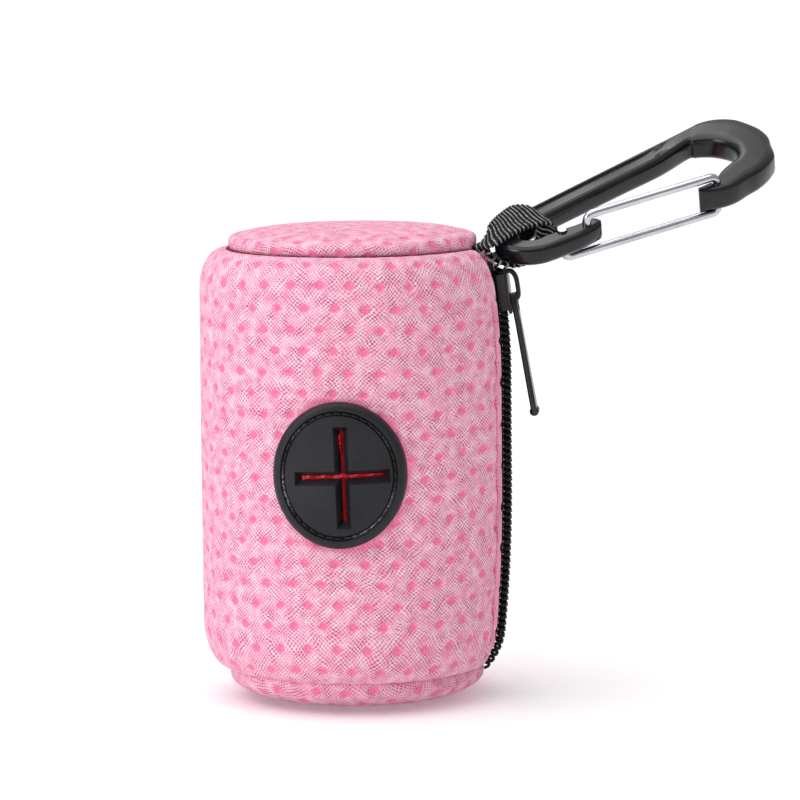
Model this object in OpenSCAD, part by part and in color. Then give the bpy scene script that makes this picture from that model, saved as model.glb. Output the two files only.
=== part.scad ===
// Round zipped pouch that dispenses bags through a rubber port, with a wire-gate carabiner.
// Millimetres. Origin: centre of the base face. +Z up, port towards -Y, zip along +X.

/* [Pouch] */
// Outer diameter of the padded wall
body_d = 60.8; // [58:0.2:64]
// Overall height of the pouch
body_h = 92; // [88:0.5:96]
// Height of the bottom seam
base_seam_z = 5; // [4:0.5:6]
// Height of the top seam
top_seam_z = 88.6; // [86:0.2:90]
// Radius of the wall's rolled shoulders
shoulder_r = 5; // [4.5:0.5:6]
// Thickness of the knitted outer face
mesh_t = 0.6; // [0.4:0.1:0.8]
// Thickness of the spacer foam
foam_t = 2.2; // [1.8:0.1:2.4]
// Thickness of the lining
lining_t = 0.4; // [0.3:0.1:0.6]

/* [Port] */
// Height of the port's centre
port_z = 47.7; // [40:0.1:56]
// Width of the port across the pouch
port_w = 25.6; // [24:0.2:29]
// Height of the port along the pouch
port_h = 28; // [26:0.2:31]
// How far the port's rim stands off the wall
port_proud = 2.8; // [2:0.1:3.4]
// Length of the level slot
slot_w = 18.5; // [16:0.5:20]
// Length of the upright slot
slot_h = 19.8; // [16:0.2:21]
// Width of a slot at the face, before its walls slope in
slot_mouth = 2.6; // [2:0.1:3]
// Width of the slit at the slot's floor
slot_slit = 0.9; // [0.6:0.1:1.2]

/* [Zip] */
// Radius of the coil's outer face
coil_out_r = 30.5; // [30:0.1:30.8]
// Depth of the coil
coil_t = 1.8; // [1.6:0.1:2]
// Pitch of the coil's loops
coil_pitch = 1.25; // [1.2:0.05:1.4]
// Half width of the closed chain
coil_half_w = 2.1; // [1.9:0.1:2.3]
// Half angle of the gap that the zip closes
zip_half_angle = 14.5; // [13:0.5:16]
// Height of the slider's middle when the zip is shut
slider_z = 79.9; // [78:0.1:80.5]

/* [Zip pull] */
// Length of the pull from its hinge to its end
pull_l = 24; // [20:0.5:28]
// Width of the pull's paddle
pull_w = 4.6; // [4:0.1:6]
// How far the hanging pull leans out from the wall
pull_lean = 10; // [8:1:14]

/* [Carabiner] */
// Half thickness of the hook
hook_half_t = 2.5; // [2.2:0.1:2.7]
// Half thickness of the elbow and the hinge arm
arm_half_t = 1.95; // [1.8:0.05:2]
// Diameter of the gate's wire
wire_d = 1.7; // [1.5:0.1:1.8]
// Length of the gate from its pivot to its closed end
gate_l = 29.1; // [28.6:0.1:29.4]
// Radius of the hook's inner curve, where a ring or strap sits
bight_r = 7.2; // [7:0.1:7.4]

/* [Webbing] */
// Width of the webbing where it leaves the seam
web_w = 9; // [8:0.5:10]
// Thickness of one layer of webbing
web_t = 1.0; // [0.8:0.1:1.1]

/* [Bag roll] */
// Diameter of the full roll
roll_d = 35; // [28:1:38]
// Length of the roll
roll_l = 62; // [58:1:66]
// Outer diameter of the card core
core_d = 13; // [11:0.5:15]
// Wall of the card core
core_t = 0.9; // [0.6:0.1:1.2]

/* [Hidden] */
$fn = 96;
eps = 0.01;
wall_r = body_d / 2;
seam_r = wall_r - shoulder_r;
foam_r = wall_r - mesh_t;
lining_r = foam_r - foam_t;
arc_steps = 8;
// Caps
cap_edge_r = 3.0;
base_edge_r = 4.4;
cap_t = 3.2;
floor_z = 3.4;
ceiling_z = body_h - cap_t;
binding_w = 1.6;
binding_h = 4.6;
// Port
port_hole_r = 10.4;
port_out_r = wall_r + port_proud;
port_sides = 64;
rim_r = 1.1;
rim_steps = 5;
groove_in = 1.55;
groove_w = 1.1;
groove_deep = 0.7;
stitch_count = 36;
thread_r = 0.3;
slot_deep = 1.9;
// Zip
tape_t = 0.6;
coil_in_r = coil_out_r - coil_t;
tape_in_r = coil_in_r - tape_t;
tape_edge_angle = 1.5;
tape_out_angle = 20.5;
zip_first_z = 9;
zip_low_z = 42;
zip_low_r = 300;
zip_high_z = 64;
zip_high_r = 120;
zip_last_z = 85.2;
head_past = 0.45;
loop_t = 0.62;
splay = 1.15;
splay_start = slider_z;
splay_run = 3;
cord_r = 0.5;
// Slider
slider_l = 9.2;
plate_t = 0.6;
slider_gap = 0.2;
tape_gap = 0.5;
lip_gap = 0.4;
wedge_r = 0.5;
wedge_drop = 1.1;
slider_top_half = 4.1;
slider_low_half = 3.1;
bridge_w = 1.9;
bridge_t = 0.8;
eye_bar_r = 0.4;
eye_gap = 0.2;
plate_x = coil_out_r + slider_gap + plate_t;
eye_x = plate_x + eye_gap + eye_bar_r;
eye_z = slider_z - 1.1;
pull_t = 1.2;
// Carabiner: u runs along the spine, v towards the gate, w through the thickness
car_origin = [33.45, 12.28, 93.79];
car_u = [0.6811, 0.6647, 0.3072];
car_w = [-0.0527, -0.3739, 0.9260];
car_v = cross(car_u, car_w);
elbow_c = [-7.8, 8.6];
elbow_r = 7.3;
elbow_in_r = 2.9;
spine_w = 5.8;
spine_half_t = 2.2;
bight_c = [37, 11.4];
pivot = [1.4, 14.85];
gate_slope = 16.6;
leg_h = 3.85;
wire_bend_r = 1.5;
hole_r = wire_d / 2 + 0.08;
tail_l = 5.4;
tail_gap = 0.4;
corner_r = 1.1;
// Webbing
web_root = [25.05, 0, 88.3];
web_tail_l = 2.9;

// ---- helpers ----
function arc(c, r, a0, a1, n) = [
    for (i = [0 : n]) let (a = a0 + (a1 - a0) * i / n) c + r * [cos(a), sin(a)]
];
function reversed(list) = [for (i = [len(list) - 1 : -1 : 0]) list[i]];
function mix(a, b, t) = a * (1 - t) + b * t;
function unit(v) = v / norm(v);
// Smooth curve through a list of stations, at stop k plus fraction t
function smooth_at(p, k, t) =
    let (n = len(p) - 1)
    let (a = p[max(k - 1, 0)], b = p[k], c = p[min(k + 1, n)], d = p[min(k + 2, n)])
    0.5 * (2 * b + (c - a) * t + (2 * a - 5 * b + 4 * c - d) * t * t
        + (3 * b - a - 3 * c + d) * t * t * t);
function smooth(p, steps) = concat(
    [for (k = [0 : len(p) - 2]) for (i = [0 : steps - 1]) smooth_at(p, k, i / steps)],
    [p[len(p) - 1]]
);

// One closed solid through rings of equal count, its ends capped
module loft(rings) {
    n = len(rings[0]);
    last = len(rings) - 1;
    polyhedron(
        points = [for (ring = rings) each ring],
        faces = concat(
            [for (i = [0 : last - 1]) for (j = [0 : n - 1]) let (k = (j + 1) % n)
                [i * n + j, i * n + k, (i + 1) * n + k]],
            [for (i = [0 : last - 1]) for (j = [0 : n - 1]) let (k = (j + 1) % n)
                [i * n + j, (i + 1) * n + k, (i + 1) * n + j]],
            [[for (j = [n - 1 : -1 : 0]) j]],
            [[for (j = [0 : n - 1]) last * n + j]]
        ),
        convexity = 6
    );
}

// ---- pouch wall ----
// Side of the wall at a depth below its outer face, from the bottom seam to the top seam
function wall_side(depth) = concat(
    arc([seam_r, base_seam_z + shoulder_r], shoulder_r - depth, -90, 0, arc_steps),
    arc([seam_r, top_seam_z - shoulder_r], shoulder_r - depth, 0, 90, arc_steps)
);

module wall_layer(depth, thickness, half_angle) {
    rotate_extrude(angle = 360 - 2 * half_angle, start = half_angle)
        polygon(concat(wall_side(depth), reversed(wall_side(depth + thickness))));
}

module port_hole() {
    translate([0, 0, port_z])
        rotate([90, 0, 0])
        cylinder(r = port_hole_r, h = 2 * wall_r);
}

module wall_mesh() {
    color("#e697b4")
        difference() {
            wall_layer(0, mesh_t, zip_half_angle);
            port_hole();
        }
}

// The foam thins beside the zip, where the tape is sewn under it
module wall_foam() {
    color("#f4e9ec")
        difference() {
            wall_layer(mesh_t, foam_t, zip_half_angle);
            port_hole();
            tape_room();
        }
}

// Room for the two tapes: everything inside their outer face, on both sides of the gap
module tape_room() {
    half_angle = tape_out_angle + 0.2;
    rotate_extrude(angle = 2 * half_angle, start = -half_angle)
        polygon(concat(tape_line(coil_in_r), [[1, zip_last_z], [1, zip_first_z]]));
}

module wall_lining() {
    color("#c9708f")
        difference() {
            wall_layer(mesh_t + foam_t, lining_t, tape_out_angle + 0.5);
            port_hole();
        }
}

// ---- caps ----
// Half section of the top cap at a depth below its outer face
function top_cap_side(depth) = concat(
    [[seam_r - 0.5 - depth, top_seam_z]],
    arc([seam_r - 0.3 - cap_edge_r, body_h - cap_edge_r], cap_edge_r - depth, 0, 90, arc_steps),
    [[0, body_h - depth]]
);

function base_cap_side(depth) = concat(
    [[seam_r - 0.2 - depth, base_seam_z]],
    arc([seam_r + 0.2 - base_edge_r, base_edge_r], base_edge_r - depth, 0, -90, arc_steps),
    [[0, depth]]
);

// Notch in the cap's edge, where the webbing is sewn into the seam
module webbing_notch() {
    past_root = 1.5;
    translate([web_root[0] - web_tail_l, -web_w / 2, web_root[2] - web_t])
        cube([web_tail_l + past_root, web_w, 2 * web_t]);
}

module top_cap_mesh() {
    color("#e697b4")
        difference() {
            rotate_extrude()
                polygon(concat(top_cap_side(0), reversed(top_cap_side(mesh_t))));
            webbing_notch();
        }
}

module top_cap_foam() {
    color("#f4e9ec")
        difference() {
            rotate_extrude()
                intersection() {
                    polygon(concat(top_cap_side(mesh_t), [[0, top_seam_z]]));
                    translate([0, ceiling_z + lining_t])
                        square([wall_r, cap_t]);
                }
            webbing_notch();
        }
}

module top_cap_lining() {
    color("#c9708f")
        difference() {
            translate([0, 0, ceiling_z])
                cylinder(r = seam_r - 0.5 - mesh_t, h = lining_t);
            webbing_notch();
        }
}

module base_cap_mesh() {
    color("#e697b4")
        rotate_extrude()
        polygon(concat(base_cap_side(0), reversed(base_cap_side(mesh_t))));
}

module base_cap_foam() {
    color("#f4e9ec")
        rotate_extrude()
        intersection() {
            polygon(concat(base_cap_side(mesh_t), [[0, base_seam_z]]));
            translate([0, mesh_t])
                square([wall_r, floor_z - lining_t - mesh_t]);
        }
}

module base_cap_lining() {
    color("#c9708f")
        translate([0, 0, floor_z - lining_t])
        cylinder(r = seam_r - 0.2 - mesh_t, h = lining_t);
}

// Tape bound round the turned-in seam allowance
module binding_ring(low_z) {
    translate([0, 0, low_z])
        rotate_extrude()
        translate([seam_r - binding_w - 0.8, 0])
        union() {
            translate([0, binding_w / 2])
                square([binding_w, binding_h - binding_w]);
            translate([binding_w / 2, binding_w / 2])
                circle(d = binding_w, $fn = 24);
            translate([binding_w / 2, binding_h - binding_w / 2])
                circle(d = binding_w, $fn = 24);
        }
}

module top_binding() {
    color("#8f3f5c")
        difference() {
            binding_ring(ceiling_z - binding_h);
            webbing_notch();
        }
}

module base_binding() {
    color("#8f3f5c") binding_ring(floor_z);
}

// ---- port ----
// Oval outline of the port, drawn in from its edge
module port_oval(inset) {
    polygon([
        for (i = [0 : port_sides - 1]) let (a = 360 * i / port_sides)
            [(port_w / 2 - inset) * cos(a), (port_h / 2 - inset) * sin(a)]
    ]);
}

// Straight prism of an oval through the wall, towards -Y
module port_prism(inset) {
    translate([0, 0, port_z])
        rotate([90, 0, 0])
        linear_extrude(height = 2 * port_out_r)
        port_oval(inset);
}

module curved_slice(r_in, r_out) {
    difference() {
        translate([0, 0, port_z - port_h])
            cylinder(r = r_out, h = 2 * port_h);
        translate([0, 0, port_z - port_h - 1])
            cylinder(r = r_in, h = 2 * port_h + 2);
    }
}

// Trough of a slot: a slit with sloping walls and mitred ends, along local x
module slot_trough(length) {
    face_y = -port_out_r;
    translate([0, 0, port_z])
        rotate([90, 0, 0])
        translate([0, 0, -face_y - slot_deep])
        slot_wedge(length);
}

module slot_wedge(length) {
    half = length / 2;
    lip = slot_mouth / 2;
    slit = slot_slit / 2;
    over = 0.6;
    grow = (lip - slit) / slot_deep;
    top = slot_deep + over;
    mouth = slit + grow * top;
    hull() {
        translate([-half + lip - slit, -slit, 0])
            cube([length - 2 * (lip - slit), 2 * slit, eps]);
        translate([-half - grow * over, -mouth, top])
            cube([length + 2 * grow * over, 2 * mouth, eps]);
    }
}

module slit(length) {
    translate([-length / 2, -port_out_r - 1, port_z - slot_slit / 2])
        cube([length, port_out_r, slot_slit]);
}

// Part of the port between two radii, its outline drawn in
module port_slice(inset, r_in, r_out) {
    intersection() {
        port_prism(inset);
        curved_slice(r_in, r_out);
    }
}

module port_disc() {
    slit_w = slot_w - slot_mouth;
    slit_h = slot_h - slot_mouth;
    color("#1b1b1d")
        difference() {
            union() {
                port_slice(0, wall_r, port_out_r - rim_r);
                for (i = [1 : rim_steps])
                    let (low = 90 * (i - 1) / rim_steps, high = 90 * i / rim_steps, at = (low + high) / 2)
                        port_slice(
                            rim_r * (1 - cos(at)),
                            port_out_r - rim_r * (1 - sin(low)),
                            port_out_r - rim_r * (1 - sin(high))
                        );
                intersection() {
                    translate([0, 0, port_z])
                        rotate([90, 0, 0])
                        cylinder(r = port_hole_r, h = port_out_r);
                    curved_slice(foam_r - 0.6, wall_r + eps);
                }
            }
            intersection() {
                difference() {
                    port_prism(groove_in);
                    port_prism(groove_in + groove_w);
                }
                curved_slice(port_out_r - groove_deep, port_out_r + 1);
            }
            slot_trough(slot_w);
            translate([0, 0, port_z])
                rotate([0, 90, 0])
                translate([0, 0, -port_z])
                slot_trough(slot_h);
            slit(slit_w);
            translate([0, 0, port_z])
                rotate([0, 90, 0])
                translate([0, 0, -port_z])
                slit(slit_h);
        }
}

// Stitches lying end to end in the port's groove
module port_stitching() {
    a_in = port_w / 2 - groove_in - groove_w / 2;
    b_in = port_h / 2 - groove_in - groove_w / 2;
    depth_r = port_out_r - groove_deep + thread_r * 0.9;
    color("#0f0f10")
        for (i = [0 : stitch_count - 1]) {
            a = 360 * i / stitch_count;
            da = 360 / stitch_count * 0.36;
            stitch(oval_point(a - da, a_in, b_in, depth_r), oval_point(a + da, a_in, b_in, depth_r));
        }
}

function oval_point(a, a_in, b_in, r) =
    let (x = a_in * cos(a), z = port_z + b_in * sin(a))
    [x, -sqrt(r * r - x * x), z];

// One thread stitch from one point to another
module stitch(p, q) {
    d = q - p;
    translate(p)
        rotate([0, acos(d[2] / norm(d)), atan2(d[1], d[0])])
        cylinder(r = thread_r, h = norm(d), $fn = 6);
}

// ---- zip ----
// Place on the zip's line, which bows in towards both ends: [distance drawn in, height, lean]
function zip_bow(r, angle) = r * (1 - cos(angle));
function zip_place(s) =
    s > zip_high_z
        ? let (a = (s - zip_high_z) / zip_high_r * 180 / PI)
            [zip_bow(zip_high_r, a), zip_high_z + zip_high_r * sin(a), a]
        : s < zip_low_z
            ? let (a = (zip_low_z - s) / zip_low_r * 180 / PI)
                [zip_bow(zip_low_r, a), zip_low_z - zip_low_r * sin(a), -a]
            : [0, s, 0];

// Angles of the line at its two ends, and its ends measured along it
zip_low_angle = asin((zip_low_z - zip_first_z) / zip_low_r);
zip_high_angle = asin((zip_last_z - zip_high_z) / zip_high_r);
zip_first = zip_low_z - zip_low_r * zip_low_angle * PI / 180;
zip_last = zip_high_z + zip_high_r * zip_high_angle * PI / 180;

// Line of the tape's face at a radius
function tape_line(r) = concat(
    arc([r - zip_low_r, zip_low_z], zip_low_r, -zip_low_angle, 0, arc_steps),
    arc([r - zip_high_r, zip_high_z], zip_high_r, 0, zip_high_angle, arc_steps)
);

module zip_tape(side) {
    color("#161618")
        intersection() {
            rotate_extrude(
                angle = tape_out_angle - tape_edge_angle,
                start = side > 0 ? tape_edge_angle : -tape_out_angle
            )
            polygon(concat(tape_line(coil_in_r), reversed(tape_line(tape_in_r))));
            translate([0, 0, base_seam_z])
                cylinder(r = wall_r, h = top_seam_z - base_seam_z);
        }
}

module zip_tape_front() { zip_tape(-1); }
module zip_tape_rear() { zip_tape(1); }

// How far the two chains stand apart, above the slider's wedge
function zip_apart(s) = splay * min(max((s - splay_start) / splay_run, 0), 1);

// Section of one coil loop, radial by tangential, its head past the middle of the chain
module coil_loop() {
    linear_extrude(height = loop_t, center = true)
        polygon([
            [0.25, -head_past], [coil_t * 0.35, -head_past - 0.12], [coil_t * 0.65, -head_past - 0.12],
            [coil_t - 0.25, -head_past], [coil_t - 0.05, 0.3], [coil_t - 0.25, 0.7],
            [coil_t - 0.1, coil_half_w - 0.35], [coil_t - 0.4, coil_half_w],
            [0.3, coil_half_w], [0, coil_half_w - 0.35], [0.15, 0.7], [0, 0.3]
        ]);
}

// One side of the chain: loops at even pitch along a filler cord
module zip_chain(side, phase) {
    count = floor((zip_last - zip_first - loop_t) / coil_pitch);
    mirror([0, side > 0 ? 0 : 1, 0])
        union() {
            for (i = [0 : count - 1]) {
                s = zip_first + loop_t / 2 + (i + phase) * coil_pitch;
                at = zip_place(s);
                translate([coil_in_r - at[0], zip_apart(s), at[1]])
                    rotate([0, -at[2], 0])
                    coil_loop();
            }
            zip_cord();
        }
}

// Filler cord that the loops are wound on
module zip_cord() {
    stops = concat(
        [for (k = [0 : 4]) mix(zip_first, zip_low_z, k / 4)],
        [for (k = [0 : 3]) mix(zip_high_z, splay_start, k / 3)],
        [splay_start + splay_run, zip_last]
    );
    loft([for (s = stops) let (at = zip_place(s)) [
        for (j = [0 : 5]) [
            coil_in_r - at[0] + coil_t / 2 + cord_r * cos(-60 * j),
            zip_apart(s) + coil_half_w * 0.62 + cord_r * sin(-60 * j),
            at[1]
        ]
    ]]);
}

module zip_coil_front() { color("#0c0c0d") zip_chain(-1, 0); }
module zip_coil_rear() { color("#0c0c0d") zip_chain(1, 0.5); }

// Run of top stitching beside the zip
module topstitch(side) {
    pitch = 4;
    gap = 0.7;
    inset_angle = zip_half_angle + 6.4;
    from = base_seam_z + shoulder_r + 1;
    count = floor((top_seam_z - shoulder_r - 1 - from) / pitch);
    x = (wall_r + thread_r * 0.4) * cos(inset_angle);
    y = side * (wall_r + thread_r * 0.4) * sin(inset_angle);
    color("#c96a8c")
        for (i = [0 : count - 1])
            translate([x, y, from + i * pitch])
                cylinder(r = thread_r, h = pitch - gap, $fn = 6);
}

module topstitch_front() { topstitch(-1); }
module topstitch_rear() { topstitch(1); }

// ---- slider ----
// The slider's parts are drawn as if the zip ran straight up, then laid along its line
module slider_frame() {
    at = zip_place(slider_z);
    translate([coil_in_r - at[0], 0, at[1]])
        rotate([0, -at[2], 0])
        translate([-coil_in_r, 0, -slider_z])
        children();
}

// Place in the pouch of a point of the slider: [radius, height]
function slider_point(x, z) =
    let (at = zip_place(slider_z), dx = x - coil_in_r, dz = z - slider_z)
    [coil_in_r - at[0] + dx * cos(at[2]) - dz * sin(at[2]), at[1] + dx * sin(at[2]) + dz * cos(at[2])];
eye_at = slider_point(eye_x, eye_z);

// Outline of the slider's plates, broad at the mouths and narrow where the chain leaves
module slider_outline() {
    half = slider_l / 2;
    waist = 0.4;
    neck = -2.4;
    low_corner = 0.6;
    top_corner = 1.0;
    right = [
        [slider_low_half - low_corner, -half], [slider_low_half, low_corner - half],
        [slider_low_half, neck], [slider_top_half, waist],
        [slider_top_half, half - 1.2 * top_corner], [slider_top_half - top_corner, half]
    ];
    polygon(concat(right, reversed([for (p = right) [-p[0], p[1]]])));
}

// Slab of the slider between two radii
module slider_slab(r_in, r_out) {
    translate([r_in, 0, slider_z])
        rotate([90, 0, 90])
        linear_extrude(height = r_out - r_in)
        slider_outline();
}

module slider_body() {
    in_face = sqrt(tape_in_r ^ 2 - slider_top_half ^ 2) - tape_gap;
    out_face = coil_out_r + slider_gap;
    lip_low = coil_in_r + lip_gap;
    color("#141416")
        slider_frame()
        union() {
            slider_slab(out_face, plate_x);
            slider_slab(in_face - plate_t, in_face);
            difference() {
                slider_slab(lip_low, out_face);
                slider_channel(lip_low - 1, out_face + 1);
            }
            // Wedge that parts the two chains, and ties the plates together
            translate([in_face - eps, 0, slider_z + slider_l / 2 - wedge_drop])
                rotate([0, 90, 0])
                cylinder(r = wedge_r, h = out_face - in_face + 2 * eps, $fn = 24);
        }
}

// Way for the chain between the slider's lips
module slider_channel(r_in, r_out) {
    half = slider_l / 2 + 1;
    narrow = coil_half_w + slider_gap;
    broad = coil_half_w + splay + slider_gap;
    fork = 1.4;
    neck = -2.2;
    translate([r_in, 0, slider_z])
        rotate([90, 0, 90])
        linear_extrude(height = r_out - r_in)
        polygon([
            [-broad, half], [broad, half], [broad, fork], [narrow, neck], [narrow, -half],
            [-narrow, -half], [-narrow, neck], [-broad, fork]
        ]);
}

// Middle line of the bridge: up off the plate, over, down, and in round the pull's bar
bridge_r = eye_bar_r + eye_gap + bridge_t / 2;
bridge_top = slider_z + slider_l / 2;
bridge_line = smooth(concat(
    [[plate_x - 1.2, bridge_top - 1.6], [plate_x - 0.1, bridge_top - 0.8]],
    [[plate_x + 0.6, bridge_top - 0.6]],
    [[eye_x + 0.5 * bridge_r, bridge_top - 1.1], [eye_x + 0.9 * bridge_r, bridge_top - 2.0]],
    [[eye_x + bridge_r, bridge_top - 3.2], [eye_x + bridge_r, eye_z + 0.8]],
    arc([eye_x, eye_z], bridge_r, 0, -160, 6)
), 3);

// Line beside another line, at a distance to its left
function beside(line, gap) = [
    for (i = [0 : len(line) - 1])
        let (way = unit(line[min(i + 1, len(line) - 1)] - line[max(i - 1, 0)]))
        line[i] + gap * [-way[1], way[0]]
];

// Arched bridge that carries the pull
module slider_bridge() {
    color("#141416")
        slider_frame()
        translate([0, bridge_w / 2, 0])
        rotate([90, 0, 0])
        linear_extrude(height = bridge_w)
        difference() {
            polygon(concat(
                beside(bridge_line, bridge_t / 2), reversed(beside(bridge_line, -bridge_t / 2))
            ));
            translate([plate_x - slider_l, slider_z - slider_l])
                square([slider_l, 2 * slider_l]);
        }
}

// Flat stamped pull: an eye bar, two side arms and a long paddle with a rolled end
module zip_pull() {
    arm_w = 1.0;
    inner_half = bridge_w / 2 + 0.35;
    outer_half = inner_half + arm_w;
    eye_l = eye_bar_r + 2 * eye_gap + bridge_t + 1.3;
    neck_half = outer_half * 0.72;
    neck_z = -eye_l - 2.2;
    end_half = pull_w / 2;
    right = [
        [end_half - 1, -pull_l], [end_half, 1 - pull_l], [end_half, 3 - pull_l],
        [neck_half, neck_z], [outer_half, -eye_l], [outer_half, 0]
    ];
    panel_l = pull_l - 12;
    panel_w = pull_w * 0.42;
    panel_deep = 0.25;
    roll_r = 0.95;
    color("#141416")
        translate([eye_at[0], 0, eye_at[1]])
        rotate([0, -pull_lean, 0])
        union() {
            rotate([90, 0, 0])
                translate([0, 0, -outer_half])
                cylinder(r = eye_bar_r, h = 2 * outer_half);
            difference() {
                translate([-pull_t / 2, 0, 0])
                    rotate([90, 0, 90])
                    linear_extrude(height = pull_t)
                    difference() {
                        polygon(concat(right, reversed([for (p = right) [-p[0], p[1]]])));
                        translate([-inner_half, -eye_l])
                            square([2 * inner_half, eye_l + 1]);
                    }
                // Sunk panel in each face
                for (face = [-1, 1])
                    translate([face * pull_t / 2, 0, -pull_l / 2 - 3])
                        cube([2 * panel_deep, panel_w, panel_l], center = true);
            }
            translate([0, 0, roll_r - pull_l])
                rotate([90, 0, 0])
                cylinder(r = roll_r, h = pull_w - 1, center = true, $fn = 32);
        }
}

// ---- carabiner ----
module carabiner_frame() {
    multmatrix([
        [car_u[0], car_v[0], car_w[0], car_origin[0]],
        [car_u[1], car_v[1], car_w[1], car_origin[1]],
        [car_u[2], car_v[2], car_w[2], car_origin[2]],
        [0, 0, 0, 1]
    ])
    children();
}

// Outer and inner edges of the body in plan, from the hinge arm round to the nose
outer_edge = concat(
    [[4.6, 15.3], [3.7, 16.2], [1.3, 16.8], [-2.2, 16.9], [-5.6, 16.4]],
    arc(elbow_c, elbow_r, 104, 215, 8),
    [[-10.6, 1.5], [-5.5, 0.2], [6, 0], [20, 0], [33, 0]],
    arc([46.2, 7], 7, -100, 0, 5),
    arc([40.2, 9.5], 13, 9, 46, 3),
    arc([36, 8], 17.8, 53, 92, 4),
    [[31.5, 26.2], [28.2, 25.4], [25.8, 23.7], [24.6, 22.8]]
);
inner_edge = concat(
    [[4.9, 14.6], [3.9, 13.7], [1.5, 12.9], [-1.0, 12.3], [-3.6, 11.7]],
    arc([-7.4, 8.5], elbow_in_r, 70, 235, 8),
    [[-7.6, 5.55], [-4.5, spine_w - 0.1], [6, spine_w], [20, spine_w], [31, spine_w + 0.1]],
    arc(bight_c, bight_r - 0.1, -70, -8, 5),
    arc(bight_c, bight_r - 0.1, 0, 30, 3),
    arc(bight_c, bight_r - 0.1, 42, 82, 4),
    [[34.0, 19.7], [30.6, 21.4], [27.5, 22.0], [25.2, 22.0]]
);
// Half thickness at each stretch: arm, elbow, spine, hook
function edge_half_t(i) =
    i < 5 ? mix(1.7, arm_half_t, i / 4)
    : i < 14 ? arm_half_t
    : i < 19 ? mix(arm_half_t, spine_half_t, (i - 13) / 5)
    : i < 25 ? mix(spine_half_t, hook_half_t, (i - 18) / 6)
    : hook_half_t;

// Rounded section of the body across its plan at one station
function body_ring(outer, inner, half_t) =
    let (width = norm(inner - outer), along = (inner - outer) / width)
    let (r = min(corner_r, width * 0.42, half_t * 0.6))
    [for (corner = [[r, half_t - r, 180], [width - r, half_t - r, 90],
                    [width - r, r - half_t, 0], [r, r - half_t, -90]])
        for (a = [0, -45, -90])
            let (d = corner[0] + r * cos(corner[2] + a), h = corner[1] + r * sin(corner[2] + a))
            [outer[0] + along[0] * d, outer[1] + along[1] * d, h]];

module body_sweep() {
    stations = [for (i = [0 : len(outer_edge) - 1])
        [outer_edge[i][0], outer_edge[i][1], inner_edge[i][0], inner_edge[i][1], edge_half_t(i)]];
    fine = smooth(stations, 2);
    loft([for (s = fine) body_ring([s[0], s[1]], [s[2], s[3]], s[4])]);
}

// Frame of the gate: x along the wire from the pivot, z through the thickness
module gate_frame() {
    translate([pivot[0], pivot[1], 0])
        rotate([0, 0, gate_slope])
        children();
}

module carabiner_body() {
    notch_r = wire_d / 2 + 0.1;
    notch_deep = 4;
    notch_flare = 0.25;
    groove_bite = 0.55;
    cut_h = 10;
    color("#151517")
        carabiner_frame()
        difference() {
            body_sweep();
            // Pivot holes for the two ends of the wire
            gate_frame() {
                cylinder(r = hole_r, h = cut_h, center = true);
                translate([-tail_l, 0, 0])
                    cylinder(d = wire_d, h = cut_h, center = true);
                // Notch in the nose that the closed end of the wire snaps into
                translate([gate_l, 0, 0])
                    cylinder(r = notch_r, h = cut_h, center = true, $fn = 32);
                translate([gate_l - notch_r, -notch_deep, -cut_h / 2])
                    cube([2 * notch_r + notch_flare, notch_deep, cut_h]);
            }
            // Inner curve of the hook
            translate([bight_c[0], bight_c[1], 0])
                cylinder(r = bight_r, h = cut_h, center = true);
            // Long grooves in the spine's faces
            for (face = [-1, 1])
                translate([0, spine_w / 2, face * (spine_half_t + groove_bite)])
                    spine_groove();
        }
}

// Round-ended groove along the spine
module spine_groove() {
    from = 0;
    to = 40;
    groove_r = 1.3;
    groove_t = 2;
    translate([from, -groove_r, -groove_t / 2])
        cube([to - from, 2 * groove_r, groove_t]);
    for (x = [from, to])
        translate([x, 0, -groove_t / 2])
            cylinder(r = groove_r, h = groove_t, $fn = 32);
}

// Quarter bend of the wire, from local +z to local +x
module wire_elbow() {
    rotate([90, 0, 0])
        rotate_extrude(angle = 90, start = 90)
        translate([wire_bend_r, 0])
        circle(d = wire_d, $fn = 24);
}

module wire_run(length) {
    rotate([0, 90, 0])
        cylinder(d = wire_d, h = length, $fn = 24);
}

// Bent steel wire: a pin in the arm, two legs and the closed end that spans the nose
module gate_wire() {
    rise = leg_h - wire_bend_r;
    color("#b9bcc0")
        carabiner_frame()
        gate_frame()
        union() {
            cylinder(d = wire_d, h = rise, $fn = 24);
            translate([wire_bend_r, 0, rise])
                wire_elbow();
            translate([wire_bend_r, 0, leg_h])
                wire_run(gate_l - 2 * wire_bend_r);
            translate([gate_l - wire_bend_r, 0, rise])
                mirror([1, 0, 0])
                wire_elbow();
            translate([gate_l, 0, -rise])
                cylinder(d = wire_d, h = 2 * rise, $fn = 24);
            translate([gate_l - wire_bend_r, 0, -rise])
                mirror([1, 0, 0])
                mirror([0, 0, 1])
                wire_elbow();
            translate([0, 0, -leg_h])
                wire_run(gate_l - wire_bend_r);
            translate([0, 0, -leg_h])
                sphere(d = wire_d, $fn = 24);
        }
}

// The wire's other end, held in the second hole, which twists to close the gate
module gate_wire_tail() {
    rise = leg_h - wire_bend_r;
    color("#b9bcc0")
        carabiner_frame()
        gate_frame()
        union() {
            difference() {
                translate([-tail_l + wire_bend_r, 0, -leg_h])
                    wire_run(tail_l - wire_bend_r - tail_gap);
                translate([0, 0, -leg_h])
                    sphere(d = wire_d + 0.06, $fn = 24);
            }
            translate([-tail_l + wire_bend_r, 0, -rise])
                mirror([0, 0, 1])
                wire_elbow();
            translate([-tail_l, 0, -rise])
                cylinder(d = wire_d, h = rise + arm_half_t, $fn = 24);
        }
}

// ---- webbing ----
// Place in the pouch of a point given in the carabiner's own directions
function from_carabiner(p) = car_origin + car_u * p[0] + car_v * p[1] + car_w * p[2];

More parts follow.
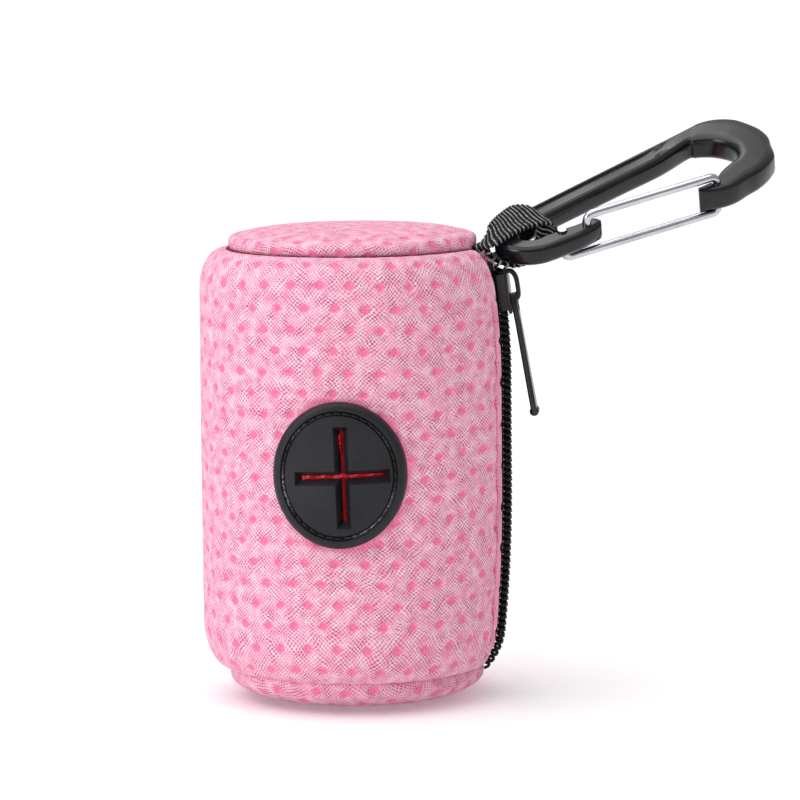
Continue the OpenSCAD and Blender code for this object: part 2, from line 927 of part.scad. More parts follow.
// Stations of the loop: centre, direction across the tape, width, all in the carabiner's directions
web_stations = [
    [-14.95, 3.3, 0.55, 0.66, -0.65, -0.37, web_w],
    [-14.75, 4.3, 2.0, 0.45, -0.84, -0.22, web_w],
    [-13.2, 5.6, 2.75, 0.15, -0.98, -0.05, web_w * 0.98],
    [-9.8, 6.8, 2.9, 0, -1, 0, web_w * 0.9],
    [-6.6, 7.9, 2.85, 0, -1, 0, web_w * 0.75],
    [-4.7, 8.5, 1.9, 0, -1, 0, web_w * 0.5],
    [-4.2, 8.6, 0, 0, -1, 0, web_w * 0.47],
    [-4.7, 8.5, -1.9, 0, -1, 0, web_w * 0.5],
    [-6.6, 7.9, -2.85, 0, -1, 0, web_w * 0.75],
    [-9.8, 6.8, -2.9, 0, -1, 0, web_w * 0.9],
    [-13.2, 5.6, -2.75, 0.15, -0.98, -0.05, web_w * 0.98],
    [-14.75, 4.3, -2.1, 0.45, -0.84, -0.22, web_w],
    [-14.95, 3.3, -0.5, 0.66, -0.65, -0.37, web_w]
];

// Section of the tape at one station, square to the way it runs
function web_ring(s, way) =
    let (across = unit([s[3], s[4], s[5]]), face = unit(cross(across, way)))
    let (c = [s[0], s[1], s[2]], a = across * s[6] / 2, b = face * web_t / 2)
    [for (p = [c - a * 0.96 - b, c + a * 0.96 - b, c + a, c + a * 0.96 + b, c - a * 0.96 + b, c - a])
        from_carabiner(p)];

module webbing_loop() {
    fine = smooth(web_stations, 3);
    n = len(fine) - 1;
    color("#1a1a1c")
        loft([for (i = [0 : n])
            let (before = fine[max(i - 1, 0)], after = fine[min(i + 1, n)])
            let (way = [after[0] - before[0], after[1] - before[1], after[2] - before[2]])
            reversed(web_ring(fine[i], way))]);
}

// The two sewn ends of the loop, held between the cap and the wall
module webbing_tail() {
    color("#1a1a1c")
        translate([web_root[0] - web_tail_l, -web_w / 2, web_root[2] - web_t])
        cube([web_tail_l, web_w, 2 * web_t]);
}

// ---- bag roll ----
module bag_roll() {
    edge = 0.6;
    color("#d81e2c")
        translate([0, 0, floor_z + 0.1])
        rotate_extrude()
        polygon([
            [core_d / 2, edge], [core_d / 2 + edge, 0], [roll_d / 2 - edge, 0], [roll_d / 2, edge],
            [roll_d / 2, roll_l - edge], [roll_d / 2 - edge, roll_l], [core_d / 2 + edge, roll_l],
            [core_d / 2, roll_l - edge]
        ]);
}

module roll_core() {
    color("#b08a5a")
        translate([0, 0, floor_z + 0.1])
        difference() {
            cylinder(d = core_d, h = roll_l);
            translate([0, 0, -1])
                cylinder(d = core_d - 2 * core_t, h = roll_l + 2);
        }
}

// Loose end of the first bag, gathered from the roll to the back of the port
module bag_lead() {
    film_t = 0.4;
    off_roll = 0.35;
    // Each station: across, deep, height, half the strip's height, thickness
    stations = [
        [-roll_d / 2 - off_roll, 0, floor_z + roll_l / 2, roll_l / 2 - 4, film_t],
        [-roll_d / 2 - off_roll + 0.2, -8, 38, 23, film_t],
        [-13.5, -17.5, 43, 16, film_t],
        [-6, -23.5, port_z - 1.5, 11, film_t],
        [-1.1, -26.2, port_z, 8.8, film_t],
        [0, -28.4, port_z, 8.4, slot_slit],
        [0, -30.6, port_z, 8.2, slot_slit]
    ];
    fine = smooth(stations, 4);
    n = len(fine) - 1;
    color("#c81a28")
        loft([for (i = [0 : n])
            let (s = fine[i], before = fine[max(i - 1, 0)], after = fine[min(i + 1, n)])
            let (way = unit([after[0] - before[0], after[1] - before[1], 0]))
            let (off = [-way[1], way[0], 0] * s[4] / 2, c = [s[0], s[1], s[2]])
            [c + off - [0, 0, s[3]], c - off - [0, 0, s[3]],
             c - off + [0, 0, s[3]], c + off + [0, 0, s[3]]]]);
}

wall_mesh();
wall_foam();
wall_lining();
top_cap_mesh();
top_cap_foam();
top_cap_lining();
base_cap_mesh();
base_cap_foam();
base_cap_lining();
top_binding();
base_binding();
port_disc();
port_stitching();
zip_tape_front();
zip_tape_rear();
zip_coil_front();
zip_coil_rear();
topstitch_front();
topstitch_rear();
slider_body();
slider_bridge();
zip_pull();
webbing_tail();
webbing_loop();
carabiner_body();
gate_wire_tail();
gate_wire();
bag_roll();
roll_core();
bag_lead();
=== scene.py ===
"""Dress a round zipped mesh pouch: its rubber bag port, zip, webbing loop and wire-gate carabiner.

Sizes in the classes are millimetres. Every mesh is written in metres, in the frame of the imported
solids: origin at the centre of the base face, +Z up, port towards -Y, zip along +X.
"""

from __future__ import annotations

import logging
import math
from dataclasses import dataclass
from enum import Enum

import bpy
import numpy as np
from mathutils import Matrix, Vector

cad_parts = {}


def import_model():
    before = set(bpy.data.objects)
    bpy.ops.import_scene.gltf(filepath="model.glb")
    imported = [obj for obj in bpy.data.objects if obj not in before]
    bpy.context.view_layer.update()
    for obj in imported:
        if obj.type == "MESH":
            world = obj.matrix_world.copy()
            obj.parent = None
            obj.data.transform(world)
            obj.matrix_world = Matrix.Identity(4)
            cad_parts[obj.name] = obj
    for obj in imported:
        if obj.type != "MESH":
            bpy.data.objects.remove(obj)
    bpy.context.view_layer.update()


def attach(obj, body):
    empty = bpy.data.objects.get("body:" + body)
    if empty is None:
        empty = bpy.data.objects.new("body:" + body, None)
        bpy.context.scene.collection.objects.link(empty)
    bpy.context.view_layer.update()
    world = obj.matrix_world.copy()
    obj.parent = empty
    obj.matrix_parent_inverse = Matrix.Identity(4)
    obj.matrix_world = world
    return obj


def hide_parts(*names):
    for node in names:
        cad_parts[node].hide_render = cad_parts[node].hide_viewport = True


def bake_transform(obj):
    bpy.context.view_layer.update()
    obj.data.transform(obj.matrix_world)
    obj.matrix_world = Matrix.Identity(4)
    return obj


Array = np.ndarray
Place = tuple[float, float]
Tree, Node, Socket = bpy.types.NodeTree, bpy.types.Node, bpy.types.NodeSocket
Material, Object = bpy.types.Material, bpy.types.Object

LOG = logging.getLogger("pouch")
MM = 0.001


# ---------------------------------------------------------------- small tools


def srgb(colour: str) -> tuple[float, float, float, float]:
    """Turn an sRGB hex colour such as #f7bcd2 into linear RGBA.

    Args:
        colour: the hex colour, with its hash.

    Returns:
        Linear red, green, blue and an alpha of one.
    """
    parts = [int(colour[i : i + 2], 16) / 255 for i in (1, 3, 5)]
    linear = [c / 12.92 if c <= 0.04045 else ((c + 0.055) / 1.055) ** 2.4 for c in parts]
    return (linear[0], linear[1], linear[2], 1.0)


def add(tree: Tree, kind: str, inputs: dict | None = None, **settings) -> Node:
    """Add a node with its settings, and link or set its inputs.

    Args:
        tree: the node tree that gets the node.
        kind: the node's type name.
        inputs: input name or number to a value, a socket, or a node whose first output is meant.
        **settings: the node's own properties.

    Returns:
        The new node.
    """
    node = tree.nodes.new(kind)
    for name, value in settings.items():
        setattr(node, name, value)
    for key, value in (inputs or {}).items():
        if isinstance(value, Node):
            value = value.outputs[0]
        if isinstance(value, Socket):
            tree.links.new(value, node.inputs[key])
        else:
            node.inputs[key].default_value = value
    return node


def maths(tree: Tree, operation: str, *values) -> Node:
    """Add a Math node.

    Args:
        tree: the node tree that gets it.
        operation: what it does.
        *values: its inputs in order, each a number, a socket or a node.

    Returns:
        The new node.
    """
    return add(tree, "ShaderNodeMath", dict(enumerate(values)), operation=operation)


def noise(tree: Tree, where: Node, scale: float, detail: float, roughness: float = 0.5) -> Node:
    """Add a noise texture.

    Args:
        tree: the node tree that gets it.
        where: the place it is read at.
        scale: how many features there are per unit of the place.
        detail: how many finer layers it has.
        roughness: how strong the finer layers are.

    Returns:
        The new node.
    """
    inputs = {"Vector": where, "Scale": scale, "Detail": detail, "Roughness": roughness}
    return add(tree, "ShaderNodeTexNoise", inputs)


def remap(
    tree: Tree,
    value: Node,
    span: tuple[float, float],
    onto: tuple[float, float] = (0.0, 1.0),
    smooth: bool = False,
) -> Node:
    """Map a span of values onto another, clamped at both ends.

    Args:
        tree: the node tree that gets the node.
        value: the value that is mapped.
        span: the values at both ends.
        onto: what those two become.
        smooth: whether it eases in and out.

    Returns:
        The new node.
    """
    ends = {"From Min": span[0], "From Max": span[1], "To Min": onto[0], "To Max": onto[1]}
    kind = "SMOOTHSTEP" if smooth else "LINEAR"
    return add(tree, "ShaderNodeMapRange", {"Value": value, **ends}, interpolation_type=kind)


def mixed(tree: Tree, part: Node, first: str | Socket, second: str | Socket) -> Socket:
    """Mix two colours.

    Args:
        tree: the node tree that gets the node.
        part: how much of the second colour there is.
        first: a hex colour, or a socket.
        second: the same.

    Returns:
        The mixed colour's socket.
    """
    first, second = (srgb(c) if isinstance(c, str) else c for c in (first, second))
    return add(tree, "ShaderNodeMix", {0: part, 6: first, 7: second}, data_type="RGBA").outputs[2]


@dataclass(frozen=True)
class Relief:
    """A height that a finish's light follows."""

    height: Node
    strength: float
    depth_mm: float
    sunk: bool = False


def finished(tree: Tree, shader: Node, relief: Relief, values: dict) -> None:
    """Give a shader its relief and its other inputs.

    Args:
        tree: the node tree.
        shader: its Principled shader.
        relief: the height that its light follows.
        values: input name to a number, a colour or a socket.
    """
    inputs = {"Height": relief.height, "Strength": relief.strength, "Distance": relief.depth_mm * MM}
    bump = add(tree, "ShaderNodeBump", inputs, invert=relief.sunk)
    for key, value in {**values, "Normal": bump.outputs[0]}.items():
        if isinstance(value, Socket):
            tree.links.new(value, shader.inputs[key])
        else:
            shader.inputs[key].default_value = value


def new_material(name: str) -> tuple[Material, Tree, Node]:
    """Make an empty node material.

    Args:
        name: the finish's name.

    Returns:
        The material, its node tree and its Principled shader, already linked to the output.
    """
    material = bpy.data.materials.new(name)
    material.use_nodes = True
    tree = material.node_tree
    tree.nodes.clear()
    shader = add(tree, "ShaderNodeBsdfPrincipled")
    add(tree, "ShaderNodeOutputMaterial", {"Surface": shader})
    return material, tree, shader


def smooth_stations(stations: Array, steps: int) -> Array:
    """Run a smooth curve through rows of numbers, as the solids' own sweep does.

    Args:
        stations: one row per station, any number of columns.
        steps: points per stretch between two stations.

    Returns:
        The finer rows, the last station included.
    """
    last = len(stations) - 1
    rows = []
    for k in range(last):
        a, b = stations[max(k - 1, 0)], stations[k]
        c, d = stations[k + 1], stations[min(k + 2, last)]
        for i in range(steps):
            t = i / steps
            square, cube = (2 * a - 5 * b + 4 * c - d) * t**2, (3 * b - a - 3 * c + d) * t**3
            rows.append(0.5 * (2 * b + (c - a) * t + square + cube))
    rows.append(stations[last])
    return np.array(rows)


def arc(centre: Place, radius: float, start: float, end: float, steps: int) -> list[list[float]]:
    """Points on a circle's arc.

    Args:
        centre: the circle's middle.
        radius: its radius.
        start: angle of the first point, in degrees.
        end: angle of the last point.
        steps: steps between them.

    Returns:
        One more point than there are steps.
    """
    angles = np.radians(np.linspace(start, end, steps + 1))
    return [[centre[0] + radius * math.cos(a), centre[1] + radius * math.sin(a)] for a in angles]


def unit(vectors: Array) -> Array:
    """Bring vectors to a length of one.

    Args:
        vectors: their parts lie along the last axis.

    Returns:
        The same directions.
    """
    return vectors / np.linalg.norm(vectors, axis=-1, keepdims=True)


@dataclass
class Form:
    """Points in millimetres and faces of one piece, with flat-cloth places where its finish needs them."""

    points: Array
    faces: list
    cloth: Array | None = None

    def flipped(self) -> Form:
        """Wind the faces the other way.

        Returns:
            The form with its faces turned.
        """
        return Form(self.points, [tuple(reversed(f)) for f in self.faces], self.cloth)

    def joined(self, other: Form) -> Form:
        """Put this form and another together.

        Args:
            other: the form that is added.

        Returns:
            Both as one.
        """
        shift = len(self.points)
        faces = list(self.faces) + [tuple(i + shift for i in f) for f in other.faces]
        return Form(np.vstack([self.points, other.points]), faces)


def grid_faces(rows: int, columns: int, around: bool = False) -> list[tuple[int, int, int, int]]:
    """Quads of a grid of points stored row by row.

    Args:
        rows: number of rows.
        columns: number of points in a row.
        around: whether each row closes on itself.

    Returns:
        The quads.
    """
    span = columns if around else columns - 1
    faces = []
    for i in range(rows - 1):
        for j in range(span):
            k = (j + 1) % columns
            faces.append((i * columns + j, i * columns + k, (i + 1) * columns + k, (i + 1) * columns + j))
    return faces


def layer(outer: Array, inner: Array, faces: list, cloth: Array | None = None) -> Form:
    """Close two surfaces with the same faces into one sheet, with every open edge walled.

    Args:
        outer: points of the outer surface.
        inner: points of the inner surface, in the same order.
        faces: the outer surface's faces.
        cloth: flat-cloth place of each outer point.

    Returns:
        The sheet.
    """
    outer, inner = outer.reshape(-1, 3), inner.reshape(-1, 3)
    shift = len(outer)
    edges = {(f[i], f[(i + 1) % len(f)]) for f in faces for i in range(len(f))}
    walls = sorted((b, a, a + shift, b + shift) for a, b in edges if (b, a) not in edges)
    skin = list(faces) + [tuple(i + shift for i in reversed(f)) for f in faces] + walls
    both = None if cloth is None else np.vstack([cloth, cloth])
    return Form(np.vstack([outer, inner]), skin, both)


def circle(radius: float | Array, height: float, turns: Array) -> Array:
    """A level ring round the pouch's axis.

    Args:
        radius: its radius, one for all or one per point.
        height: its height.
        turns: angle of each point.

    Returns:
        The points.
    """
    return np.stack([radius * np.cos(turns), radius * np.sin(turns), np.full(len(turns), height)], axis=-1)


def tube(path: Array, radius: float | Array, sides: int = 10) -> Form:
    """Sweep a round section along a path without twisting it.

    Args:
        path: points of the centre line.
        radius: the section's radius, one for all or one per point.
        sides: points round the section.

    Returns:
        The swept form with flat ends.
    """
    count = len(path)
    radii = np.broadcast_to(radius, (count,))
    way = unit(np.vstack([path[1:], path[-1:]]) - np.vstack([path[:1], path[:-1]]))
    side = np.cross(way[0], [0, 0, 1.0])
    if np.linalg.norm(side) < 0.1:
        side = np.cross(way[0], [0, 1.0, 0])
    rings = []
    turn = 2 * math.pi * np.arange(sides) / sides
    for i in range(count):
        side = unit(side - way[i] * side.dot(way[i]))
        up = np.cross(way[i], side)
        rings.append(path[i] + radii[i] * (np.outer(np.cos(turn), side) + np.outer(np.sin(turn), up)))
    return loft(np.array(rings))


def loft(rings: Array, hoop: bool = False) -> Form:
    """Close rings of equal count into one solid.

    Args:
        rings: the rings, each a row of points.
        hoop: whether the last ring meets the first, in place of flat ends.

    Returns:
        The solid.
    """
    count, sides = rings.shape[:2]
    faces = grid_faces(count, sides, around=True)
    last = (count - 1) * sides
    if hoop:
        faces += [(last + j, last + (j + 1) % sides, (j + 1) % sides, j) for j in range(sides)]
    else:
        faces += [tuple(range(sides - 1, -1, -1)), tuple(last + j for j in range(sides))]
    return Form(rings.reshape(-1, 3), faces)


def as_mesh(name: str, form: Form) -> bpy.types.Mesh:
    """Turn a form into a mesh in metres.

    Args:
        name: the mesh's name.
        form: its points in millimetres and its faces.

    Returns:
        The mesh.
    """
    mesh = bpy.data.meshes.new(name)
    mesh.from_pydata((form.points * MM).tolist(), [], [tuple(int(i) for i in f) for f in form.faces])
    return mesh


def in_scene(name: str, data: bpy.types.ID) -> Object:
    """Make an object of a mesh, lamp or camera and put it in the scene.

    Args:
        name: the object's name.
        data: what it shows.

    Returns:
        The object.
    """
    obj = bpy.data.objects.new(name, data)
    bpy.context.scene.collection.objects.link(obj)
    return obj


def soften(mesh: bpy.types.Mesh, crease: float) -> None:
    """Shade a mesh smooth between its creases.

    Args:
        mesh: the mesh.
        crease: angle in degrees above which an edge stays sharp.
    """
    mesh.shade_smooth()
    mesh.set_sharp_from_angle(angle=math.radians(crease))


def place(
    name: str,
    form: Form,
    material: Material,
    body: str | None,
    replaces: tuple[str, ...] = (),
    crease: float = 45.0,
) -> Object:
    """Make a piece from a form, dress it and let it ride on its body.

    Args:
        name: the piece's name.
        form: its points in millimetres and its faces.
        material: its finish.
        body: the body it rides on, or None for none.
        replaces: the solids that it stands for.
        crease: angle in degrees above which an edge stays sharp.

    Returns:
        The piece's object.
    """
    mesh = as_mesh(name, form)
    if form.cloth is not None:
        flat = mesh.uv_layers.new(name="cloth")
        corners = np.zeros(len(mesh.loops), dtype=np.int32)
        mesh.loops.foreach_get("vertex_index", corners)
        flat.data.foreach_set("uv", form.cloth[corners].astype(np.float32).ravel())
    soften(mesh, crease)
    mesh.materials.append(material)
    obj = in_scene(name, mesh)
    if body is not None:
        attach(obj, body)
    if replaces:
        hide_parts(*replaces)
    LOG.info("%s: %d points, %d faces", name, len(form.points), len(form.faces))
    return obj


def carved(obj: Object, cutters: list[Form], crease: float = 40.0) -> None:
    """Cut forms out of a piece's mesh.

    Args:
        obj: the piece.
        cutters: the closed forms that are cut out of it.
        crease: angle in degrees above which an edge of the result stays sharp.
    """
    helpers = []
    for number, form in enumerate(cutters):
        helper = in_scene(f"cutter_{number}", as_mesh(f"cutter_{number}", form))
        helpers.append(helper)
        cut = obj.modifiers.new(f"cut_{number}", "BOOLEAN")
        cut.operation = "DIFFERENCE"
        cut.solver = "MANIFOLD"
        cut.object = helper
    graph = bpy.context.evaluated_depsgraph_get()
    result = bpy.data.meshes.new_from_object(obj.evaluated_get(graph))
    obj.modifiers.clear()
    obj.data = result
    soften(result, crease)
    for helper in helpers:
        bpy.data.objects.remove(helper)


# ---------------------------------------------------------------- finishes


@dataclass(frozen=True)
class AirMesh:
    """Knitted sandwich mesh: pale loops beside loops painted in shade, over gaps painted a mauve shade, with
    rows of diamond holes to a rosy back.
    """

    loop: str = "#fbd0df"
    # painted shade: the mauve of the small gaps between loops
    gap: str = "#a23f69"
    # painted shade: the darker pink of loops that lie deeper
    deep_loop_shade: str = "#f49aba"
    hole: str = "#f787ad"
    hole_shadow: str = "#e5598c"
    row_mm: float = 4.05
    column_mm: float = 5.8
    hole_w: float = 2.35
    hole_h: float = 1.85
    shape: float = 1.35
    stitch_mm: float = 0.84
    course_mm: float = 0.76
    port_at: tuple[float, float] = (143.26, 43.6)
    port_half: tuple[float, float] = (12.9, 14.1)
    stretch: float = 0.3
    wave_u: float = 0.17
    wave_v: float = 0.21
    phase_v: float = 1.3

    def hole_mask(self, cloth: Array) -> Array:
        """How far each place of the cloth lies in a hole.

        Args:
            cloth: places on the flat cloth in millimetres, one row each.

        Returns:
            One inside a hole, falling to zero at its edge.
        """
        u = cloth[:, 0] + self.stretch * np.sin(self.wave_v * cloth[:, 1] + self.phase_v)
        v = cloth[:, 1] + self.stretch * np.sin(self.wave_u * cloth[:, 0])
        row = np.floor(v / self.row_mm)
        across = np.abs((u / self.column_mm + row / 2) % 1 - 0.5) * self.column_mm * 2 / self.hole_w
        along = np.abs((v / self.row_mm) % 1 - 0.5) * self.row_mm * 2 / self.hole_h
        t = np.clip((1.25 - across**self.shape - along**self.shape) / 0.7, 0, 1)
        return t * t * (3 - 2 * t)

    def hole_nodes(self, tree: Tree, u: Node, v: Node, where: Node) -> Node:
        """Nodes of the diamond holes, the same formula as hole_mask with a ragged edge.

        Args:
            tree: the material's node tree.
            u: place along the courses, in millimetres.
            v: place across them.
            where: the place on the flat cloth.

        Returns:
            A node that is one inside a hole.
        """
        rows = maths(tree, "DIVIDE", v, self.row_mm)
        half_row = maths(tree, "MULTIPLY", maths(tree, "FLOOR", rows), 0.5)
        columns = maths(tree, "MULTIPLY_ADD", u, 1 / self.column_mm, half_row)
        distances = []
        for count, pitch, size in ((columns, self.column_mm, self.hole_w), (rows, self.row_mm, self.hole_h)):
            part = maths(tree, "SUBTRACT", maths(tree, "FRACT", count), 0.5)
            part = maths(tree, "MULTIPLY", maths(tree, "ABSOLUTE", part), pitch * 2 / size)
            distances.append(maths(tree, "POWER", part, self.shape))
        far = maths(tree, "MULTIPLY_ADD", noise(tree, where, 1.7, 3.0), 1.1, maths(tree, "ADD", *distances))
        return remap(tree, far, (1.0, 1.9), (1.0, 0.0), smooth=True)

    def gap_nodes(self, tree: Tree, u: Node, v: Node, where: Node) -> Node:
        """Nodes of the small gaps between loops, painted dark as shade: a quincunx that drifts, fades and is
        broken by fibres.

        Args:
            tree: the material's node tree.
            u: place along the courses, in millimetres.
            v: place across them.
            where: the place on the flat cloth.

        Returns:
            A node that is one inside a gap.
        """
        waves = []
        for place_mm, pitch, scale, swing in ((u, self.stitch_mm, 0.24, 2.4), (v, self.course_mm, 0.2, 2.1)):
            phase = maths(tree, "MULTIPLY", place_mm, 2 * math.pi / pitch)
            phase = maths(tree, "MULTIPLY_ADD", noise(tree, where, scale, 2.0), 2 * math.pi * swing, phase)
            waves.append(maths(tree, "SINE", phase))
        fibre = noise(tree, where, 2.2, 4.0, 0.75)
        spots = maths(tree, "MULTIPLY_ADD", fibre, 2.5, maths(tree, "MULTIPLY", *waves))
        fade = remap(tree, noise(tree, where, 0.33, 3.0), (0.3, 0.68), (0.35, 1.0))
        return maths(tree, "MULTIPLY", remap(tree, spots, (0.94, 1.94), smooth=True), fade)

    def pressed_nodes(self, tree: Tree, axes: Node, where: Node) -> Node:
        """Nodes of the ring round the port where the sewing presses the knit flat and the rosy back shows.

        Args:
            tree: the material's node tree.
            axes: the two parts of the place on the flat cloth.
            where: the place on the flat cloth.

        Returns:
            A node that is near one in the ring.
        """
        squares = []
        for number in (0, 1):
            off = maths(tree, "SUBTRACT", axes.outputs[number], self.port_at[number])
            squares.append(maths(tree, "POWER", maths(tree, "DIVIDE", off, self.port_half[number]), 2.0))
        far = maths(tree, "SQRT", maths(tree, "ADD", *squares))
        far = maths(tree, "MULTIPLY_ADD", noise(tree, where, 0.22, 2.0), 0.3, far)
        return remap(tree, far, (1.13, 1.24), (0.85, 0.0), smooth=True)

    def make(self) -> Material:
        """Build the material from the cloth's flat places.

        Returns:
            The material.
        """
        material, tree, shader = new_material("air_mesh_knit")
        where = add(tree, "ShaderNodeUVMap", uv_map="cloth")
        axes = add(tree, "ShaderNodeSeparateXYZ", {0: where})
        raw_u, raw_v = axes.outputs[0], axes.outputs[1]
        bend_u = maths(tree, "SINE", maths(tree, "MULTIPLY_ADD", raw_v, self.wave_v, self.phase_v))
        u = maths(tree, "MULTIPLY_ADD", bend_u, self.stretch, raw_u)
        bend_v = maths(tree, "SINE", maths(tree, "MULTIPLY", raw_u, self.wave_u))
        v = maths(tree, "MULTIPLY_ADD", bend_v, self.stretch, raw_v)
        hole = self.hole_nodes(tree, u, v, where)
        gap = self.gap_nodes(tree, u, v, where)
        pressed = self.pressed_nodes(tree, axes, where)
        # painted light and shade: loops that catch the light beside others, painted darker, that lie deeper;
        # the gaps between loops are painted in a mauve shade
        lie = remap(tree, noise(tree, where, 0.5, 4.0), (0.35, 0.7))
        knit = mixed(tree, gap, mixed(tree, lie, self.loop, self.deep_loop_shade), self.gap)
        strands = remap(tree, noise(tree, where, 2.4, 3.0), (0.4, 0.72))
        back = mixed(tree, strands, self.hole, self.hole_shadow)
        # knit gaps sit below the loops, the holes below both
        low = maths(tree, "MULTIPLY_ADD", gap, 0.6, hole)
        values = {
            "Base Color": mixed(tree, maths(tree, "MAXIMUM", hole, pressed), knit, back),
            "Roughness": 0.9,
            "Specular IOR Level": 0.15,
            "Sheen Weight": 0.12,
            "Sheen Roughness": 0.5,
            "Sheen Tint": srgb("#ffd3e2"),
        }
        finished(tree, shader, Relief(low, 0.6, 0.2, sunk=True), values)
        return material


@dataclass(frozen=True)
class SpeckledFinish:
    """A plain-coloured surface whose grain, in millimetres, varies its colour, gloss and height."""

    name: str
    colour: str
    variant: str
    roughness: float
    grain_mm: float
    bump_mm: float
    ior: float = 1.5
    metallic: float = 0.0
    sheen: float = 0.0
    gloss_range: float = 0.08
    reflection: float = 0.5
    flecks: tuple[float, float] = (0.15, 0.4)

    def make(self) -> Material:
        """Build the material from noise in the piece's own space.

        Returns:
            The material.
        """
        material, tree, shader = new_material(self.name)
        where = add(tree, "ShaderNodeTexCoord").outputs["Object"]
        grain = noise(tree, where, 1 / (self.grain_mm * MM), 4.0)
        cloud = noise(tree, where, 90.0, 3.0)
        part = remap(tree, maths(tree, "MULTIPLY", grain, cloud), self.flecks)
        gloss = (self.roughness - self.gloss_range, self.roughness + self.gloss_range)
        values = {
            "Base Color": mixed(tree, part, self.colour, self.variant),
            "Roughness": remap(tree, cloud, (0.3, 0.7), gloss).outputs[0],
            "IOR": self.ior,
            "Specular IOR Level": self.reflection,
            "Metallic": self.metallic,
            "Sheen Weight": self.sheen,
        }
        finished(tree, shader, Relief(grain, 0.6, self.bump_mm), values)
        return material


@dataclass(frozen=True)
class Weave:
    """Woven tape: two crossing sets of threads, a thread spacing apart, seen as a fine relief."""

    name: str
    colour: str
    shadow: str
    thread_mm: float
    slant: float
    roughness: float = 0.75
    sheen: float = 0.05
    reflection: float = 0.2

    def make(self) -> Material:
        """Build the material from slanted bands on the flat cloth.

        Returns:
            The material.
        """
        material, tree, shader = new_material(self.name)
        where = add(tree, "ShaderNodeUVMap", uv_map="cloth")
        axes = add(tree, "ShaderNodeSeparateXYZ", {0: where})
        bands = []
        for lean in (self.slant, -self.slant):
            line = maths(tree, "MULTIPLY_ADD", axes.outputs[0], lean, axes.outputs[1])
            wave = maths(tree, "SINE", maths(tree, "MULTIPLY", line, 2 * math.pi / self.thread_mm))
            bands.append(maths(tree, "MULTIPLY_ADD", wave, 0.5, 0.5))
        relief = maths(tree, "MAXIMUM", *bands)
        tone = maths(tree, "MULTIPLY", relief, noise(tree, where, 4.0, 3.0))
        values = {
            "Base Color": mixed(tree, tone, self.shadow, self.colour),
            "Roughness": self.roughness,
            "Specular IOR Level": self.reflection,
            "Sheen Weight": self.sheen,
        }
        finished(tree, shader, Relief(relief, 0.7, 0.1), values)
        return material


@dataclass(frozen=True)
class RibbedWeb:
    """Black webbing with ribs across its length: filaments bridge each rib, painted with a light grey
    highlight, and leave black between them.
    """

    name: str
    # painted highlight: the light grey along each rib's crest
    rib_highlight: str
    valley: str
    rib_mm: float
    roughness: float = 0.5
    reflection: float = 0.08

    def make(self) -> Material:
        """Build the material from the distance along the tape, which is the cloth's first place.

        Returns:
            The material.
        """
        material, tree, shader = new_material(self.name)
        where = add(tree, "ShaderNodeUVMap", uv_map="cloth")
        along = add(tree, "ShaderNodeSeparateXYZ", {0: where}).outputs[0]
        wave = maths(tree, "COSINE", maths(tree, "MULTIPLY", along, 2 * math.pi / self.rib_mm))
        broken = remap(tree, noise(tree, where, 1.6, 4.0, 0.75), (0.36, 0.66))
        # painted highlight along each rib's crest, broken by noise, over the black
        tone = maths(tree, "MULTIPLY", remap(tree, wave, (0.25, 1.0), smooth=True), broken)
        values = {
            "Base Color": mixed(tree, tone, self.valley, self.rib_highlight),
            "Roughness": self.roughness,
            "Specular IOR Level": self.reflection,
        }
        finished(tree, shader, Relief(broken, 0.6, 0.08), values)
        return material


# soft PVC, moulded against a matt tool: dark bluish grey, a broad dull sheen and a fine grain
PORT_RUBBER = SpeckledFinish(
    "moulded_rubber", "#15161a", "#24252b",
    roughness=0.5, grain_mm=0.3, bump_mm=0.03, gloss_range=0.05, reflection=0.3,
)
# glass-filled nylon, moulded against a polished tool: near black with clear, slightly uneven highlights
HOOK_NYLON = SpeckledFinish(
    "moulded_nylon", "#0c0c0f", "#15151a",
    roughness=0.22, grain_mm=0.8, bump_mm=0.012, ior=1.53, reflection=0.34,
)
# zinc die casting under stoved black enamel: glossy with a faint orange peel
SLIDER_ENAMEL = SpeckledFinish(
    "black_enamel", "#0c0c0e", "#161719", roughness=0.26, grain_mm=0.5, bump_mm=0.012, reflection=0.4
)
# drawn spring steel: bright, with drawing marks too fine to see one by one
GATE_STEEL = SpeckledFinish(
    "drawn_steel", "#c9cbd0", "#a9acb2", roughness=0.2, grain_mm=0.3, bump_mm=0.004, metallic=1.0
)
# extruded nylon monofilament: smooth and black with small highlights on each loop
COIL_NYLON = SpeckledFinish(
    "nylon_coil", "#070708", "#101012",
    roughness=0.36, grain_mm=0.2, bump_mm=0.01, ior=1.53, reflection=0.22,
)
# spun polyester thread: black, with grey flecks painted as highlights on its twisted fibres
BLACK_THREAD = SpeckledFinish(
    "black_thread", "#060607", "#77777d",
    roughness=0.5, grain_mm=0.22, bump_mm=0.06, reflection=0.3, flecks=(0.27, 0.36),
)
# the same in pink: matt and slightly hairy
PINK_THREAD = SpeckledFinish(
    "pink_thread", "#e693b3", "#c96a91", roughness=0.7, grain_mm=0.12, bump_mm=0.05, sheen=0.4
)
# thin polythene film with a coloured masterbatch: creased and half glossy
RED_FILM = SpeckledFinish(
    "bag_film", "#d5202c", "#a5121d", roughness=0.35, grain_mm=1.2, bump_mm=0.08
)
# spiral-wound grey board
CORE_CARD = SpeckledFinish(
    "core_board", "#a98a66", "#8f7250", roughness=0.85, grain_mm=0.25, bump_mm=0.03
)
# open polyester spacer yarns behind the face
SPACER = SpeckledFinish(
    "spacer_foam", "#f0cdd8", "#dca5b8", roughness=0.9, grain_mm=0.6, bump_mm=0.2, sheen=0.2
)
# black polyester zip tape, a fine herringbone
ZIP_WEAVE = Weave(
    "zip_tape_weave", "#131316", "#050506", thread_mm=0.42, slant=0.8
)
# black polypropylene webbing: a painted highlight in light grey along the filaments across each rib, with
# black between
RIBBED_WEBBING = RibbedWeb(
    "ribbed_webbing", "#c3c3c8", "#060607", rib_mm=0.95
)
